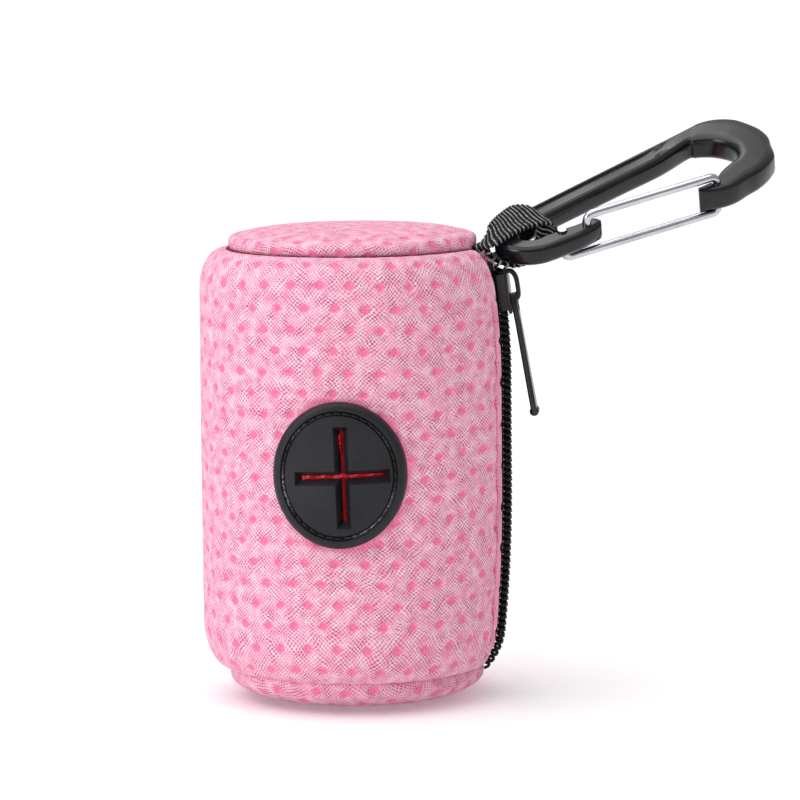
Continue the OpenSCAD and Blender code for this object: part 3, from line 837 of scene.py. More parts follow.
# rose taffeta and binding tape
LINING_WEAVE = Weave(
    "lining_weave", "#c9708f", "#9d4a69", thread_mm=0.3, slant=0.02
)
BINDING_WEAVE = Weave(
    "binding_weave", "#9c4a68", "#6d2d46", thread_mm=0.4, slant=0.9
)


# ---------------------------------------------------------------- cloth


@dataclass(frozen=True)
class Inflation:
    """How the padding swells its cover: a cloth run on a copy ten times the size."""

    scale: float = 10.0
    pressure: float = 3.0
    stiffness: float = 12.0
    slack: float = -0.015
    frames: int = 20
    cap_mm: float = 0.3

    def run(self, points: Array, faces: list, held: Array) -> Array:
        """Swell a sheet outwards between the places where it is sewn.

        Args:
            points: the sheet's points in millimetres.
            faces: its faces, wound outwards.
            held: true for each point that is sewn down.

        Returns:
            How far each point moves, in millimetres.
        """
        mesh = bpy.data.meshes.new("cloth_form")
        mesh.from_pydata((points * MM * self.scale).tolist(), [], faces)
        obj = in_scene("cloth_form", mesh)
        sewn = obj.vertex_groups.new(name="sewn")
        sewn.add([int(i) for i in np.flatnonzero(held)], 1.0, "REPLACE")
        cloth = obj.modifiers.new("cloth", "CLOTH")
        settings = cloth.settings
        settings.vertex_group_mass = "sewn"
        settings.quality = 6
        settings.mass = 0.3
        settings.tension_stiffness = self.stiffness
        settings.compression_stiffness = self.stiffness
        settings.bending_stiffness = 0.6
        settings.shrink_min = self.slack
        settings.use_pressure = True
        settings.uniform_pressure_force = self.pressure
        settings.effector_weights.gravity = 0.0
        cloth.point_cache.frame_start = 1
        cloth.point_cache.frame_end = self.frames
        scene = bpy.context.scene
        for number in range(1, self.frames + 1):
            scene.frame_set(number)
        shaped = obj.evaluated_get(bpy.context.evaluated_depsgraph_get()).data
        co = np.zeros(len(points) * 3, np.float32)
        shaped.vertices.foreach_get("co", co)
        bpy.data.objects.remove(obj)
        scene.frame_set(1)
        moved = co.reshape(-1, 3).astype(float) / (MM * self.scale) - points
        length = np.linalg.norm(moved, axis=1)
        return moved * np.minimum(1, self.cap_mm / np.maximum(length, 1e-9))[:, None]


def spread(field: Array, rows: Array, columns: Array) -> Array:
    """Read a coarse grid of values smoothly at finer places.

    Args:
        field: values, rows by columns by parts.
        rows: row places, in steps of the coarse grid.
        columns: column places, in the same steps.

    Returns:
        Values at every row place and column place.
    """

    def weights(places: Array, count: int) -> Array:
        """Cubic weights of each coarse line for each place.

        Args:
            places: places along one side, in steps of the coarse grid.
            count: number of coarse lines.

        Returns:
            One row per place, one column per coarse line.
        """
        table = np.zeros((len(places), count))
        base = np.clip(np.floor(places).astype(int), 0, count - 2)
        t = places - base
        parts = (
            -0.5 * t + t**2 - 0.5 * t**3,
            1 - 2.5 * t**2 + 1.5 * t**3,
            0.5 * t + 2 * t**2 - 1.5 * t**3,
            -0.5 * t**2 + 0.5 * t**3,
        )
        for step, part in zip((-1, 0, 1, 2), parts):
            np.add.at(table, (np.arange(len(places)), np.clip(base + step, 0, count - 1)), part)
        return table

    return np.einsum("ri,cj,ijk->rck", weights(rows, field.shape[0]), weights(columns, field.shape[1]), field)


# ---------------------------------------------------------------- pouch


@dataclass(frozen=True)
class ZipLine:
    """The line that the zip follows: straight in the middle, and bowed in towards both ends."""

    low_z: float = 42.0
    low_r: float = 300.0
    high_z: float = 64.0
    high_r: float = 120.0
    first_z: float = 5.2
    last_z: float = 85.2
    curl_z: float = 13.0
    curl_r: float = 12.0

    def at(self, run: Array) -> tuple[Array, Array]:
        """How far the zip is drawn in, and its height, at places along its line.

        Args:
            run: distances along the line.

        Returns:
            One distance and one height per place.
        """
        over = np.maximum(run - self.high_z, 0) / self.high_r
        under = np.maximum(self.low_z - run, 0) / self.low_r
        drawn = self.high_r * (1 - np.cos(over)) + self.low_r * (1 - np.cos(under))
        height = np.clip(run, self.low_z, self.high_z)
        height = height + self.high_r * np.sin(over) - self.low_r * np.sin(under)
        curl = np.maximum(self.curl_z - height, 0)
        return drawn + self.curl_r - np.sqrt(self.curl_r**2 - curl**2), height

    def ends(self) -> tuple[float, float]:
        """First and last place along the line.

        Returns:
            Both, as distances along the line.
        """
        under = math.asin((self.low_z - self.first_z) / self.low_r)
        over = math.asin((self.last_z - self.high_z) / self.high_r)
        return self.low_z - self.low_r * under, self.high_z + self.high_r * over

    def drawn_at(self, height: Array) -> Array:
        """How far the zip is drawn in at a height.

        Args:
            height: heights.

        Returns:
            One distance per height.
        """
        over = np.clip(height - self.high_z, 0, self.high_r)
        under = np.clip(self.low_z - height, 0, self.low_r)
        high = self.high_r - np.sqrt(self.high_r**2 - over**2)
        return high + self.low_r - np.sqrt(self.low_r**2 - under**2)


class End(Enum):
    """The pouch's two ends."""

    TOP = "top"
    BASE = "base"


@dataclass(frozen=True)
class CapShape:
    """One cap, and how its side bends over from its seam to its face.

    Attributes:
        end: which end of the pouch it closes.
        seam_z: height of its seam.
        face_z: height of its outer face.
        inside_z: height of its lining's face.
        edge_in: how far its edge lies inside the seam's radius.
        side_from: how far above its seam its side begins.
        power: how square the bend of its side is, where two is an ellipse.
        drawn: how far the zip pulls its edge in.
        puff: how much it swells in a quick form, which is not built here; not used.
        swell_share: the share of its swelling that is kept, at the base.
    """

    end: End
    seam_z: float
    face_z: float
    inside_z: float
    edge_in: float
    side_from: float
    power: float
    drawn: float
    puff: float
    swell_share: float

    @property
    def way(self) -> int:
        """Plus one for the cap that faces up, minus one for the other.

        Returns:
            The sign.
        """
        return 1 if self.end is End.TOP else -1


@dataclass(frozen=True)
class Pouch:
    """The padded wall and caps of sandwich mesh, with their lining and bound seams."""

    wall_r: float = 30.4
    shoulder_r: float = 5.0
    top_shoulder_h: float = 7.5
    base_shoulder_h: float = 9.5
    top: CapShape = CapShape(
        End.TOP, seam_z=88.6, face_z=93.2, inside_z=88.6, edge_in=0.6,
        side_from=0.7, power=3.2, drawn=1.3, puff=0.3, swell_share=1.0,
    )
    base: CapShape = CapShape(
        End.BASE, seam_z=6.5, face_z=0.0, inside_z=3.4, edge_in=0.1,
        side_from=-0.1, power=3.3, drawn=0.9, puff=0.0, swell_share=0.2,
    )
    face_t: float = 0.6
    foam_t: float = 2.2
    lining_t: float = 0.4
    lining_in: float = 1.4
    binding_in: float = 0.7
    binding_w: float = 1.6
    binding_h: float = 4.6
    binding_round: float = 0.4
    zip_half_angle: float = 16.4
    layers_from: float = 8.0
    fold_r: float = 1.0
    tape_r: float = 28.75
    zip_line: ZipLine = ZipLine()
    draw_full: float = 22.0
    draw_none: float = 80.0
    seam_row_angle: float = 20.9
    port_z: float = 47.7
    port_hole_r: float = 10.6
    sewn_r: float = 12.4
    cell: float = 0.55
    sheet_cell: float = 3.2
    hole_depth: float = 0.32
    pucker_mm: float = 0.16
    groove_mm: float = 0.3
    quick_bulge: float = 0.4
    fabric: AirMesh = AirMesh()
    swelling: Inflation = Inflation()

    @property
    def seam_r(self) -> float:
        """Radius of both seams.

        Returns:
            The radius.
        """
        return self.wall_r - self.shoulder_r

    @property
    def bends(self) -> tuple[float, float]:
        """Lengths round the base shoulder and the top shoulder, each a quarter of an ellipse.

        Returns:
            Both lengths, the base's first.
        """
        low, high = (
            math.pi / 2 * math.sqrt((self.shoulder_r**2 + tall**2) / 2)
            for tall in (self.base_shoulder_h, self.top_shoulder_h)
        )
        return low, high

    @property
    def wall_length(self) -> float:
        """Length of the wall's outer side from seam to seam.

        Returns:
            The length.
        """
        straight = self.top.seam_z - self.base.seam_z - self.base_shoulder_h - self.top_shoulder_h
        return sum(self.bends) + straight

    def wall_point(self, run: Array, depth: Array | float) -> tuple[Array, Array]:
        """Radius and height of the wall's side.

        Args:
            run: distance up the outer side from the bottom seam.
            depth: distance below the outer side.

        Returns:
            Radii and heights.
        """
        low_bend, high_bend = self.bends
        low, high = self.base.seam_z + self.base_shoulder_h, self.top.seam_z - self.top_shoulder_h
        top_start = self.wall_length - high_bend
        angle = np.where(run < low_bend, run / low_bend - 1, (run - top_start) / high_bend) * math.pi / 2
        angle = np.where((run >= low_bend) & (run <= top_start), 0.0, angle)
        tall = np.where(angle < 0, self.base_shoulder_h, self.top_shoulder_h)
        centre = np.where(run < low_bend, low, np.where(run > top_start, high, low + run - low_bend))
        radius = self.seam_r + (self.shoulder_r - depth) * np.cos(angle)
        return radius, centre + (tall - depth) * np.sin(angle)

    def wall_grid(self, cell: float, folds: bool) -> tuple[Array, Array, Array, Array]:
        """Rows up the wall and columns round it, with the folds beside the zip where asked.

        Args:
            cell: distance between rows and between columns.
            folds: whether the folds are there.

        Returns:
            Rows as distances up the side, columns as distances round it from the zip's middle, on the outer
            and on the inner side, and each column's depth on both.
        """
        rows = np.linspace(0, self.wall_length, round(self.wall_length / cell) + 1)
        edge = self.wall_r * math.radians(self.zip_half_angle)
        first = edge + self.fold_r * 0.4
        last = 2 * math.pi * self.wall_r - first
        columns = np.linspace(first, last, round((last - first) / cell) + 1)
        flat = np.zeros(len(columns))
        if not folds:
            return rows, np.stack([columns, columns]), flat, flat + self.face_t
        turn = np.radians(np.linspace(15, 90, 6))
        fold_at = first - self.fold_r * np.sin(turn)
        fold_depth = self.fold_r * (1 - np.cos(turn))
        fold_at = np.append(fold_at, fold_at[-1])
        fold_depth = np.append(fold_depth, self.wall_r - self.tape_r)
        inner_at = np.maximum(fold_at, edge)
        inner_depth = np.maximum(fold_depth, self.face_t)
        outer = np.concatenate([fold_depth[::-1], flat, fold_depth])
        inner = np.concatenate([inner_depth[::-1], flat + self.face_t, inner_depth])
        around = 2 * math.pi * self.wall_r
        columns_out = np.concatenate([fold_at[::-1], columns, around - fold_at])
        columns_in = np.concatenate([inner_at[::-1], columns, around - inner_at])
        return rows, np.stack([columns_out, columns_in]), outer, inner

    def wall_places(self, rows: Array, columns: Array, depth: Array) -> Array:
        """Points of the wall at every row and column, row by row.

        Args:
            rows: distances up the side.
            columns: distances round the wall.
            depth: depth of each column.

        Returns:
            The points, rows by columns.
        """
        run, at = np.meshgrid(rows, columns, indexing="ij")
        radius, height = self.wall_point(run, np.broadcast_to(depth, run.shape))
        angle = at / self.wall_r
        radius = radius - self.drawn(height, angle)
        return np.stack([radius * np.cos(angle), radius * np.sin(angle), height], axis=-1)

    def drawn(self, height: Array, angle: Array) -> Array:
        """How far the zip pulls the wall in at a height and an angle round from the zip.

        Args:
            height: heights.
            angle: angles round from the zip.

        Returns:
            One distance per place.
        """
        from_seam = np.minimum(height - self.base.seam_z, self.top.seam_z - height)
        free = np.clip(from_seam / self.shoulder_r, 0, 1)
        seam = np.where(height > self.wall_r, self.top.drawn, self.base.drawn)
        return (self.zip_line.drawn_at(height) * free + seam * (1 - free)) * self.near_zip(angle)

    def near_zip(self, angle: Array) -> Array:
        """One beside the zip, falling smoothly to zero well round the pouch.

        Args:
            angle: angles round from the zip.

        Returns:
            One share per angle.
        """
        away = np.degrees(np.abs((angle + math.pi) % (2 * math.pi) - math.pi))
        t = np.clip((self.draw_none - away) / (self.draw_none - self.draw_full), 0, 1)
        return t * t * (3 - 2 * t)

    def port_distance(self, points: Array) -> Array:
        """Distance of points from the port's axis, far away for points at the back.

        Args:
            points: the points.

        Returns:
            One distance per point.
        """
        distance = np.hypot(points[..., 0], points[..., 2] - self.port_z)
        return np.where(points[..., 1] < 0, distance, 1e3)

    def wall_swell(self) -> tuple[Array, Array, Array]:
        """Run the cloth on a coarse wall.

        Returns:
            The coarse rows and columns, and how far each of their points moves.
        """
        rows, (columns, _), _, _ = self.wall_grid(self.sheet_cell, folds=False)
        sheet = self.wall_places(rows, columns, np.zeros(len(columns)))
        held = np.zeros(sheet.shape[:2], bool)
        held[0], held[-1], held[:, 0], held[:, -1] = True, True, True, True
        held |= self.port_distance(sheet) < self.sewn_r
        points = sheet.reshape(-1, 3)
        moved = self.swelling.run(points, grid_faces(len(rows), len(columns)), held.ravel())
        return rows, columns, moved.reshape(sheet.shape)

    def wall_cover(self) -> Form:
        """The knitted outer face: swollen, folded in beside the zip, and pitted by its holes.

        Returns:
            The cover, with its flat-cloth places.
        """
        rows, columns, outer_depth, inner_depth = self.wall_grid(self.cell, folds=True)
        coarse_rows, coarse_columns, moved = self.wall_swell()
        row_places = rows / coarse_rows[-1] * (len(coarse_rows) - 1)
        span = coarse_columns[-1] - coarse_columns[0]
        column_places = np.clip((columns[0] - coarse_columns[0]) / span, 0, 1) * (len(coarse_columns) - 1)
        swell = spread(moved, row_places, column_places)
        outer = self.wall_places(rows, columns[0], outer_depth) + swell
        inner = self.wall_places(rows, columns[1], inner_depth) + swell
        along, at = np.meshgrid(rows, columns[0], indexing="ij")
        cloth = np.stack([at, along], axis=-1).reshape(-1, 2)
        pit = self.fabric.hole_mask(cloth).reshape(at.shape) * self.hole_depth
        pit *= np.clip(1 - outer_depth / self.fold_r, 0, 1)
        pit *= np.clip(np.minimum(rows, rows[-1] - rows) / 1.5, 0, 1)[:, None]
        sunk = self.wall_places(rows, columns[0], outer_depth + pit) + swell
        seam = np.minimum(rows, rows[-1] - rows)[:, None]
        pucker = self.pucker_mm * np.exp(-((seam / 2.2) ** 2)) * np.sin(at * 1.9 + 0.8 * np.sin(at * 0.37))
        from_zip = np.minimum(at, 2 * math.pi * self.wall_r - at)
        beside = (from_zip - self.wall_r * math.radians(self.seam_row_angle)) / 0.55
        groove = self.groove_mm * np.exp(-(beside**2)) * np.clip(seam / 4 - 0.5, 0, 1)
        outer = sunk + unit(outer * [1, 1, 0]) * (pucker * (seam > 0.6) - groove)[..., None]
        return layer(outer, inner, self.round_port(inner), cloth)

    def round_port(self, places: Array) -> list:
        """Faces of a grid on the wall, less those behind the port.

        Args:
            places: the grid's points, rows by columns.

        Returns:
            The quads that stay.
        """
        cut = (self.port_distance(places) < self.port_hole_r).ravel()
        return [f for f in grid_faces(*places.shape[:2]) if not all(cut[i] for i in f)]

    def wall_layer(self, depth: float, thickness: float) -> Form:
        """A plain layer of the wall behind the face.

        Args:
            depth: how far its outer side lies below the face.
            thickness: its thickness.

        Returns:
            The layer.
        """
        rows = np.linspace(0, self.wall_length, 61)
        first = self.wall_r * math.radians(self.zip_half_angle + self.layers_from)
        columns = np.linspace(first, 2 * math.pi * self.wall_r - first, 181)
        outer = self.wall_places(rows, columns, np.array(depth))
        inner = self.wall_places(rows, columns, np.array(depth + thickness))
        along, at = np.meshgrid(rows, columns, indexing="ij")
        cloth = np.stack([at, along], axis=-1).reshape(-1, 2)
        return layer(outer, inner, self.round_port(outer), cloth)

    def cap_side(self, cap: CapShape, depth: float) -> Array:
        """Half section of a cap.

        Args:
            cap: the cap.
            depth: distance below its face.

        Returns:
            Radii and heights from its middle to its seam.
        """
        edge = self.seam_r - cap.edge_in
        start = cap.seam_z + cap.side_from
        rise = cap.face_z - start - cap.way * depth
        share = np.sin(np.radians(np.linspace(0, 90, 40)))
        high = start + rise * (1 - share**cap.power) ** (1 / cap.power)
        side = np.column_stack([share * (edge - depth), high])
        return np.vstack([side, [edge - 0.3 - depth, cap.seam_z]])

    def cap_cover(self, cap: CapShape) -> Form:
        """A cap's knitted face: swollen between its seam and its middle, and pitted by its holes.

        Args:
            cap: the cap.

        Returns:
            The cover.
        """
        outer_side, inner_side = self.cap_side(cap, 0.0), self.cap_side(cap, self.face_t)
        steps = np.concatenate([[0], np.cumsum(np.linalg.norm(np.diff(outer_side, axis=0), axis=1))])
        runs = np.linspace(0.02, steps[-1], round(steps[-1] / self.cell) + 1)
        turns = np.linspace(0, 2 * math.pi, 288, endpoint=False)

        def revolved(side: Array, where: Array, angles: Array) -> Array:
            """Turn a side round the pouch's axis.

            Args:
                side: its radii and heights.
                where: places along it.
                angles: angles round the axis.

            Returns:
                Points, places by angles.
            """
            radius = np.interp(where, steps, side[:, 0])[:, None]
            height = np.interp(where, steps, side[:, 1])[:, None]
            radius = radius - cap.drawn * self.near_zip(angles) * (radius / self.seam_r) ** 3
            return np.stack([radius * np.cos(angles), radius * np.sin(angles), height + 0 * radius], axis=-1)

        rings, spokes, hub_r = 12, 44, 0.5
        coarse = np.linspace(0, 2 * math.pi, spokes, endpoint=False)
        sheet = revolved(outer_side, np.linspace(hub_r, steps[-1], rings), coarse)
        held = np.zeros((rings, spokes), bool)
        held[-1] = True
        faces = grid_faces(rings, spokes, around=True) + [tuple(reversed(range(spokes)))]
        if cap.end is End.BASE:
            faces = [tuple(reversed(f)) for f in faces]
        moved = self.swelling.run(sheet.reshape(-1, 3), faces, held.ravel()).reshape(sheet.shape)
        moved = np.concatenate([moved, moved[:, :1]], axis=1)
        if cap.end is End.BASE:
            # the base stands on its middle, so only a little of its swelling is left
            moved[..., 2] = np.maximum(moved[..., 2], 0) * cap.swell_share
        rows = np.clip((runs - hub_r) / (steps[-1] - hub_r), 0, 1) * (rings - 1)
        swell = spread(moved, rows, turns / (2 * math.pi) * spokes)
        run, turn = np.meshgrid(runs, turns, indexing="ij")
        cloth = np.stack([run * np.cos(turn), run * np.sin(turn)], axis=-1).reshape(-1, 2)
        mask = self.fabric.hole_mask(cloth).reshape(run.shape)
        mask *= np.clip((steps[-1] - runs) / 1.2, 0, 1)[:, None] * self.hole_depth
        outer, inner = revolved(outer_side, runs, turns), revolved(inner_side, runs, turns)
        outer = outer + unit(inner - outer) * mask[..., None]
        quads = grid_faces(*run.shape, around=True) + [tuple(reversed(range(len(turns))))]
        if cap.end is End.TOP:
            quads = [tuple(reversed(f)) for f in quads]
        return layer(outer + swell, inner + swell, quads, cloth)

    def cap_inside(self, cap: CapShape, spacer: Material, lining: Material) -> None:
        """Make a cap's padding, its lining and the tape bound round its seam.

        Args:
            cap: the cap.
            spacer: the padding's finish.
            lining: the lining's finish.
        """
        turns = np.linspace(0, 2 * math.pi, 144, endpoint=False)
        narrower = 1 - cap.drawn * self.near_zip(turns) / self.seam_r

        def solid(side: list[tuple[float, float]], hoop: bool = False) -> Form:
            """Turn a side into a solid.

            Args:
                side: its radii and heights, listed upward on the outside.
                hoop: whether its last place meets its first.

            Returns:
                The solid.
            """
            return loft(np.array([circle(r * narrower, z, turns) for r, z in side]), hoop)

        end, edge = cap.end.value, self.seam_r - self.lining_in
        skin = [(max(r, 0.5), z) for r, z in self.cap_side(cap, self.face_t + 0.15)[:-1]]
        back = cap.inside_z + 0.05 * cap.way
        padding = solid((skin + [(edge, back), (0.5, back)])[:: -cap.way])
        place(f"{end}_cap_padding", padding, spacer, "pouch", (f"{end}_cap_foam",))
        low = cap.inside_z + min(cap.way, 0) * self.lining_t
        sheet = solid([(edge, low), (edge, low + self.lining_t)])
        place(f"{end}_cap_lining_cloth", sheet, lining, "pouch", (f"{end}_cap_lining",))
        low = cap.inside_z - max(cap.way, 0) * self.binding_h
        outer, bevel = edge - self.binding_in, self.binding_round
        inner = outer - self.binding_w
        side = [(inner, low + bevel), (inner + bevel, low), (outer - bevel, low), (outer, low + bevel)]
        side += [(r, 2 * low + self.binding_h - z) for r, z in reversed(side)]
        tape = solid(side, hoop=True)
        place(f"{end}_bound_seam", tape, BINDING_WEAVE.make(), "pouch", (f"{end}_binding",))

    def build(self) -> None:
        """Make the cover, the caps and the layers behind them."""
        knit, spacer, lining = self.fabric.make(), SPACER.make(), LINING_WEAVE.make()
        wall = place("wall_cover", self.wall_cover(), knit, "pouch", ("wall_mesh",), crease=70)
        for shape in (self.top, self.base):
            name, node = f"{shape.end.value}_cap_cover", f"{shape.end.value}_cap_mesh"
            cap = place(name, self.cap_cover(shape), knit, "pouch", (node,), crease=70)
            self.cap_inside(shape, spacer, lining)
        padding = self.wall_layer(self.face_t + 0.05, self.foam_t - 0.1)
        place("wall_padding", padding, spacer, "pouch", ("wall_foam",))
        sheet = self.wall_layer(self.face_t + self.foam_t, self.lining_t)
        place("wall_lining_cloth", sheet, lining, "pouch", ("wall_lining",))


# ---------------------------------------------------------------- port


@dataclass(frozen=True)
class Port:
    """The moulded rubber port: rounded rim, stitch groove and a cross slot with sloping, mitred walls."""

    wall_r: float = 30.4
    centre_x: float = -0.3
    centre_z: float = 47.7
    width: float = 25.6
    height: float = 28.0
    proud: float = 2.8
    rim_r: float = 1.1
    groove_at: float = 2.0
    groove_half: float = 0.5
    groove_deep: float = 0.62
    boss_r: float = 10.2
    boss_deep: float = 1.2
    slot_w: float = 18.5
    slot_h: float = 19.8
    slot_mouth: float = 2.95
    slot_slit: float = 0.9
    slot_deep: float = 1.9
    slot_at: tuple[float, float] = (0.75, -0.35)
    slot_turn: float = 2.0
    stitches: int = 40
    thread_r: float = 0.25
    crease: float = 32.0

    def relief(self, inset: Array) -> Array:
        """Height of the front above the wall at a distance in from the edge.

        Args:
            inset: distances in from the edge.

        Returns:
            One height per distance.
        """
        rim = np.clip(inset / self.rim_r, 0, 1)
        rise = self.proud - self.rim_r * (1 - np.sqrt(1 - (1 - rim) ** 2))
        groove = np.clip(1 - ((inset - self.groove_at) / self.groove_half) ** 2, 0, 1) ** 0.6
        face = np.clip((inset - self.groove_at) / 0.4, 0, 1) * 0.2
        return rise - groove * self.groove_deep - face

    def bent(self, flat: Array) -> Array:
        """Bend flat places (across, up, out from the wall) onto the pouch's round wall.

        Args:
            flat: places across, up and out from the wall.

        Returns:
            Points in the pouch's frame.
        """
        radius = self.wall_r + flat[:, 2]
        across = flat[:, 0] + self.centre_x
        depth = -np.sqrt(np.maximum(radius**2 - across**2, 1.0))
        return np.stack([across, depth, flat[:, 1] + self.centre_z], axis=-1)

    def disc(self) -> Form:
        """The port before its slots are cut, flat: front, side and the boss behind.

        Returns:
            The disc.
        """
        turns = np.linspace(0, 2 * math.pi, 256, endpoint=False)
        insets = np.concatenate([
            self.rim_r * (1 - np.cos(np.radians(np.linspace(0, 90, 9)))),
            np.linspace(1.3, 3.0, 18),
            np.linspace(3.6, 12.6, 18),
        ])
        profile = list(zip(insets, self.relief(insets)))
        loops = [(0.3, 0.3, -self.boss_deep), (5.0, 5.0, -self.boss_deep)]
        loops += [(self.boss_r, self.boss_r, -self.boss_deep), (self.boss_r, self.boss_r, 0.0)]
        loops += [(self.width / 2, self.height / 2, 0.0)]
        loops += [(self.width / 2 - inset, self.height / 2 - inset, high) for inset, high in profile]
        return loft(np.array([circle(1.0, high, turns) * [a, b, 1] for a, b, high in loops]))

    def slot(self, length: float, upright: bool) -> Form:
        """One slot's cutter: a slit whose walls open towards the face, with mitred ends.

        Args:
            length: the slot's length at the face.
            upright: whether it runs up the pouch.

        Returns:
            The cutter, flat like the port.
        """
        lip, slit = self.slot_mouth / 2, self.slot_slit / 2
        floor = self.proud - self.slot_deep
        slope = (lip - slit) / self.slot_deep
        steps = np.linspace(-1, 1, 25)
        rings = []
        for level in (-3.0, floor, self.proud + 1.0):
            grow = max(level - floor, 0) * slope
            half_l = length / 2 - (lip - slit) + grow
            half_w = slit + grow
            ring = [[x * half_l, -half_w] for x in steps] + [[x * half_l, half_w] for x in steps[::-1]]
            ring = np.array(ring)
            ring = ring[:, ::-1] * [-1, 1] if upright else ring
            rings.append(np.column_stack([self.turned(ring), np.full(len(ring), level)]))
        return loft(np.array(rings))

    def turned(self, flat: Array) -> Array:
        """Set places across and up round the slots' own middle, which sits slightly off and turned.

        Args:
            flat: places drawn about the middle.

        Returns:
            The same places, turned and moved.
        """
        c, s = math.cos(math.radians(self.slot_turn)), math.sin(math.radians(self.slot_turn))
        return np.array(self.slot_at) + flat @ np.array([[c, s], [-s, c]])

    def thread(self) -> Form:
        """Stitches end to end in the groove, each dipping into the rubber at its ends.

        Returns:
            All stitches as one form, flat like the port.
        """
        form = None
        a, b = self.width / 2 - self.groove_at, self.height / 2 - self.groove_at
        floor = self.proud - self.groove_deep
        for number in range(self.stitches):
            middle = 2 * math.pi * number / self.stitches
            half = 2 * math.pi / self.stitches * 0.43
            turns = np.linspace(middle - half, middle + half, 9)
            arch = np.sqrt(np.clip(1 - np.linspace(-1, 1, 9) ** 4, 0, 1))
            lift = floor + self.thread_r * (1.5 * arch - 0.5)
            flat = np.stack([a * np.cos(turns), b * np.sin(turns), lift], axis=-1)
            stitch = tube(self.bent(flat), self.thread_r, 8)
            form = stitch if form is None else form.joined(stitch)
        return form

    def build(self) -> None:
        """Make the port and its stitching."""
        disc = place("port_cover", self.disc(), PORT_RUBBER.make(), "pouch", ("port_disc",))
        carved(disc, [self.slot(self.slot_w, False), self.slot(self.slot_h, True)])
        mesh = disc.data
        flat = np.array([v.co for v in mesh.vertices]) / MM
        mesh.vertices.foreach_set("co", (self.bent(flat) * MM).astype(np.float32).ravel())
        soften(mesh, self.crease)
        mesh.update()
        place("port_thread", self.thread(), BLACK_THREAD.make(), "pouch", ("port_stitching",))


# ---------------------------------------------------------------- zip


@dataclass(frozen=True)
class Zip:
    """The coil zip: two woven tapes and two interlocking nylon coils."""

    line: ZipLine = ZipLine()
    coil_out_r: float = 30.5
    coil_t: float = 1.8
    pitch: float = 1.25
    half_w: float = 2.1
    head_past: float = 0.5
    wire_r: float = 0.31
    tape_t: float = 0.6
    tape_edge: float = 1.5
    tape_out: float = 20.5
    splay: float = 1.15
    splay_from: float = 79.9
    splay_run: float = 3.0

    @property
    def coil_in_r(self) -> float:
        """Radius of the tape's outer face, which the coils lie on.

        Returns:
            The radius.
        """
        return self.coil_out_r - self.coil_t

    def coil(self, side: int, phase: float) -> Form:
        """One coil: a flattened helix whose heads reach past the middle between the other side's.

        Args:
            side: minus one for the front coil, plus one for the rear one.
            phase: how far its first loop is moved on, in turns.

        Returns:
            The coil.
        """
        first, last = self.line.ends()
        loops = int((last - first) / self.pitch) - 1
        turn = np.linspace(0, loops, loops * 16 + 1)
        run = first + 0.4 + (turn + phase) * self.pitch
        drawn, height = self.line.at(run)
        apart = self.splay * np.clip((run - self.splay_from) / self.splay_run, 0, 1)
        swing = (self.half_w + self.head_past) / 2 - self.wire_r
        middle = (self.half_w - self.head_past) / 2
        across = middle + swing * np.cos(2 * math.pi * turn) + apart
        lift = (self.coil_t / 2 - self.wire_r) * np.sin(2 * math.pi * turn)
        out = self.coil_in_r + self.coil_t / 2 - drawn + lift
        head = np.clip(-np.cos(2 * math.pi * turn), 0, 1) ** 3
        return tube(np.stack([out, side * across, height], axis=-1), self.wire_r * (1 + 0.12 * head), 8)

    def tape(self, side: int) -> Form:
        """One tape, flat against the pouch behind the coils.

        Args:
            side: minus one for the front tape, plus one for the rear one.

        Returns:
            The tape, with its flat-cloth places.
        """
        first, last = self.line.ends()
        runs = np.linspace(first, last, 110)
        turns = np.radians(np.linspace(self.tape_edge, self.tape_out, 26)) * side
        if side < 0:
            turns = turns[::-1]
        drawn, height = self.line.at(runs)
        layers = []
        for radius in (self.coil_in_r, self.coil_in_r - self.tape_t):
            reach = (radius - drawn)[:, None]
            tall = np.broadcast_to(height[:, None], (len(runs), len(turns)))
            layers.append(np.stack([reach * np.cos(turns), reach * np.sin(turns), tall], axis=-1))
        up, at = np.meshgrid(runs, turns * self.coil_in_r, indexing="ij")
        cloth = np.stack([at, up], axis=-1).reshape(-1, 2)
        return layer(*layers, grid_faces(len(runs), len(turns)), cloth)

    def build(self) -> None:
        """Make the tapes and coils."""
        weave, nylon = ZIP_WEAVE.make(), COIL_NYLON.make()
        for name, side, phase in (("front", -1, 0.0), ("rear", 1, 0.5)):
            place(f"tape_{name}", self.tape(side), weave, "pouch", (f"zip_tape_{name}",))
            place(f"coil_{name}", self.coil(side, phase), nylon, "pouch", (f"zip_coil_{name}",))


@dataclass(frozen=True)
class Topstitch:
    """The seam that holds the wall's folded edge down beside each side of the zip."""

    pouch: Pouch = Pouch()
    inset_angle: float = 20.9
    pitch: float = 4.0
    low_z: float = 11.0
    high_z: float = 78.3
    thread_r: float = 0.28

    def row(self, side: int) -> Form:
        """One row of stitches, each sunk at its ends.

        Args:
            side: minus one for the front row, plus one for the rear one.

        Returns:
            The row.
        """
        form = None
        count = int((self.high_z - self.low_z) / self.pitch) + 1
        turn = math.radians(self.inset_angle) * side
        for number in range(count):
            start = self.low_z + number * self.pitch
            heights = np.linspace(start + 0.25, start + self.pitch - 0.25, 11)
            arch = np.sqrt(np.clip(1 - np.linspace(-1, 1, 11) ** 4, 0, 1))
            wall = self.pouch.wall_r - self.pouch.drawn(heights, np.full(11, turn))
            reach = wall + 0.25 + self.thread_r * (1.3 * arch - 0.9)
            path = np.stack([reach * math.cos(turn), reach * math.sin(turn), heights], axis=-1)
            stitch = tube(path, self.thread_r, 8)
            form = stitch if form is None else form.joined(stitch)
        return form

    def build(self) -> None:
        """Make both rows."""
        thread = PINK_THREAD.make()
        for name, side in (("front", -1), ("rear", 1)):
            node = f"topstitch_{name}"
            place(f"seam_thread_{name}", self.row(side), thread, "pouch", (node,))


# ---------------------------------------------------------------- slider and pull


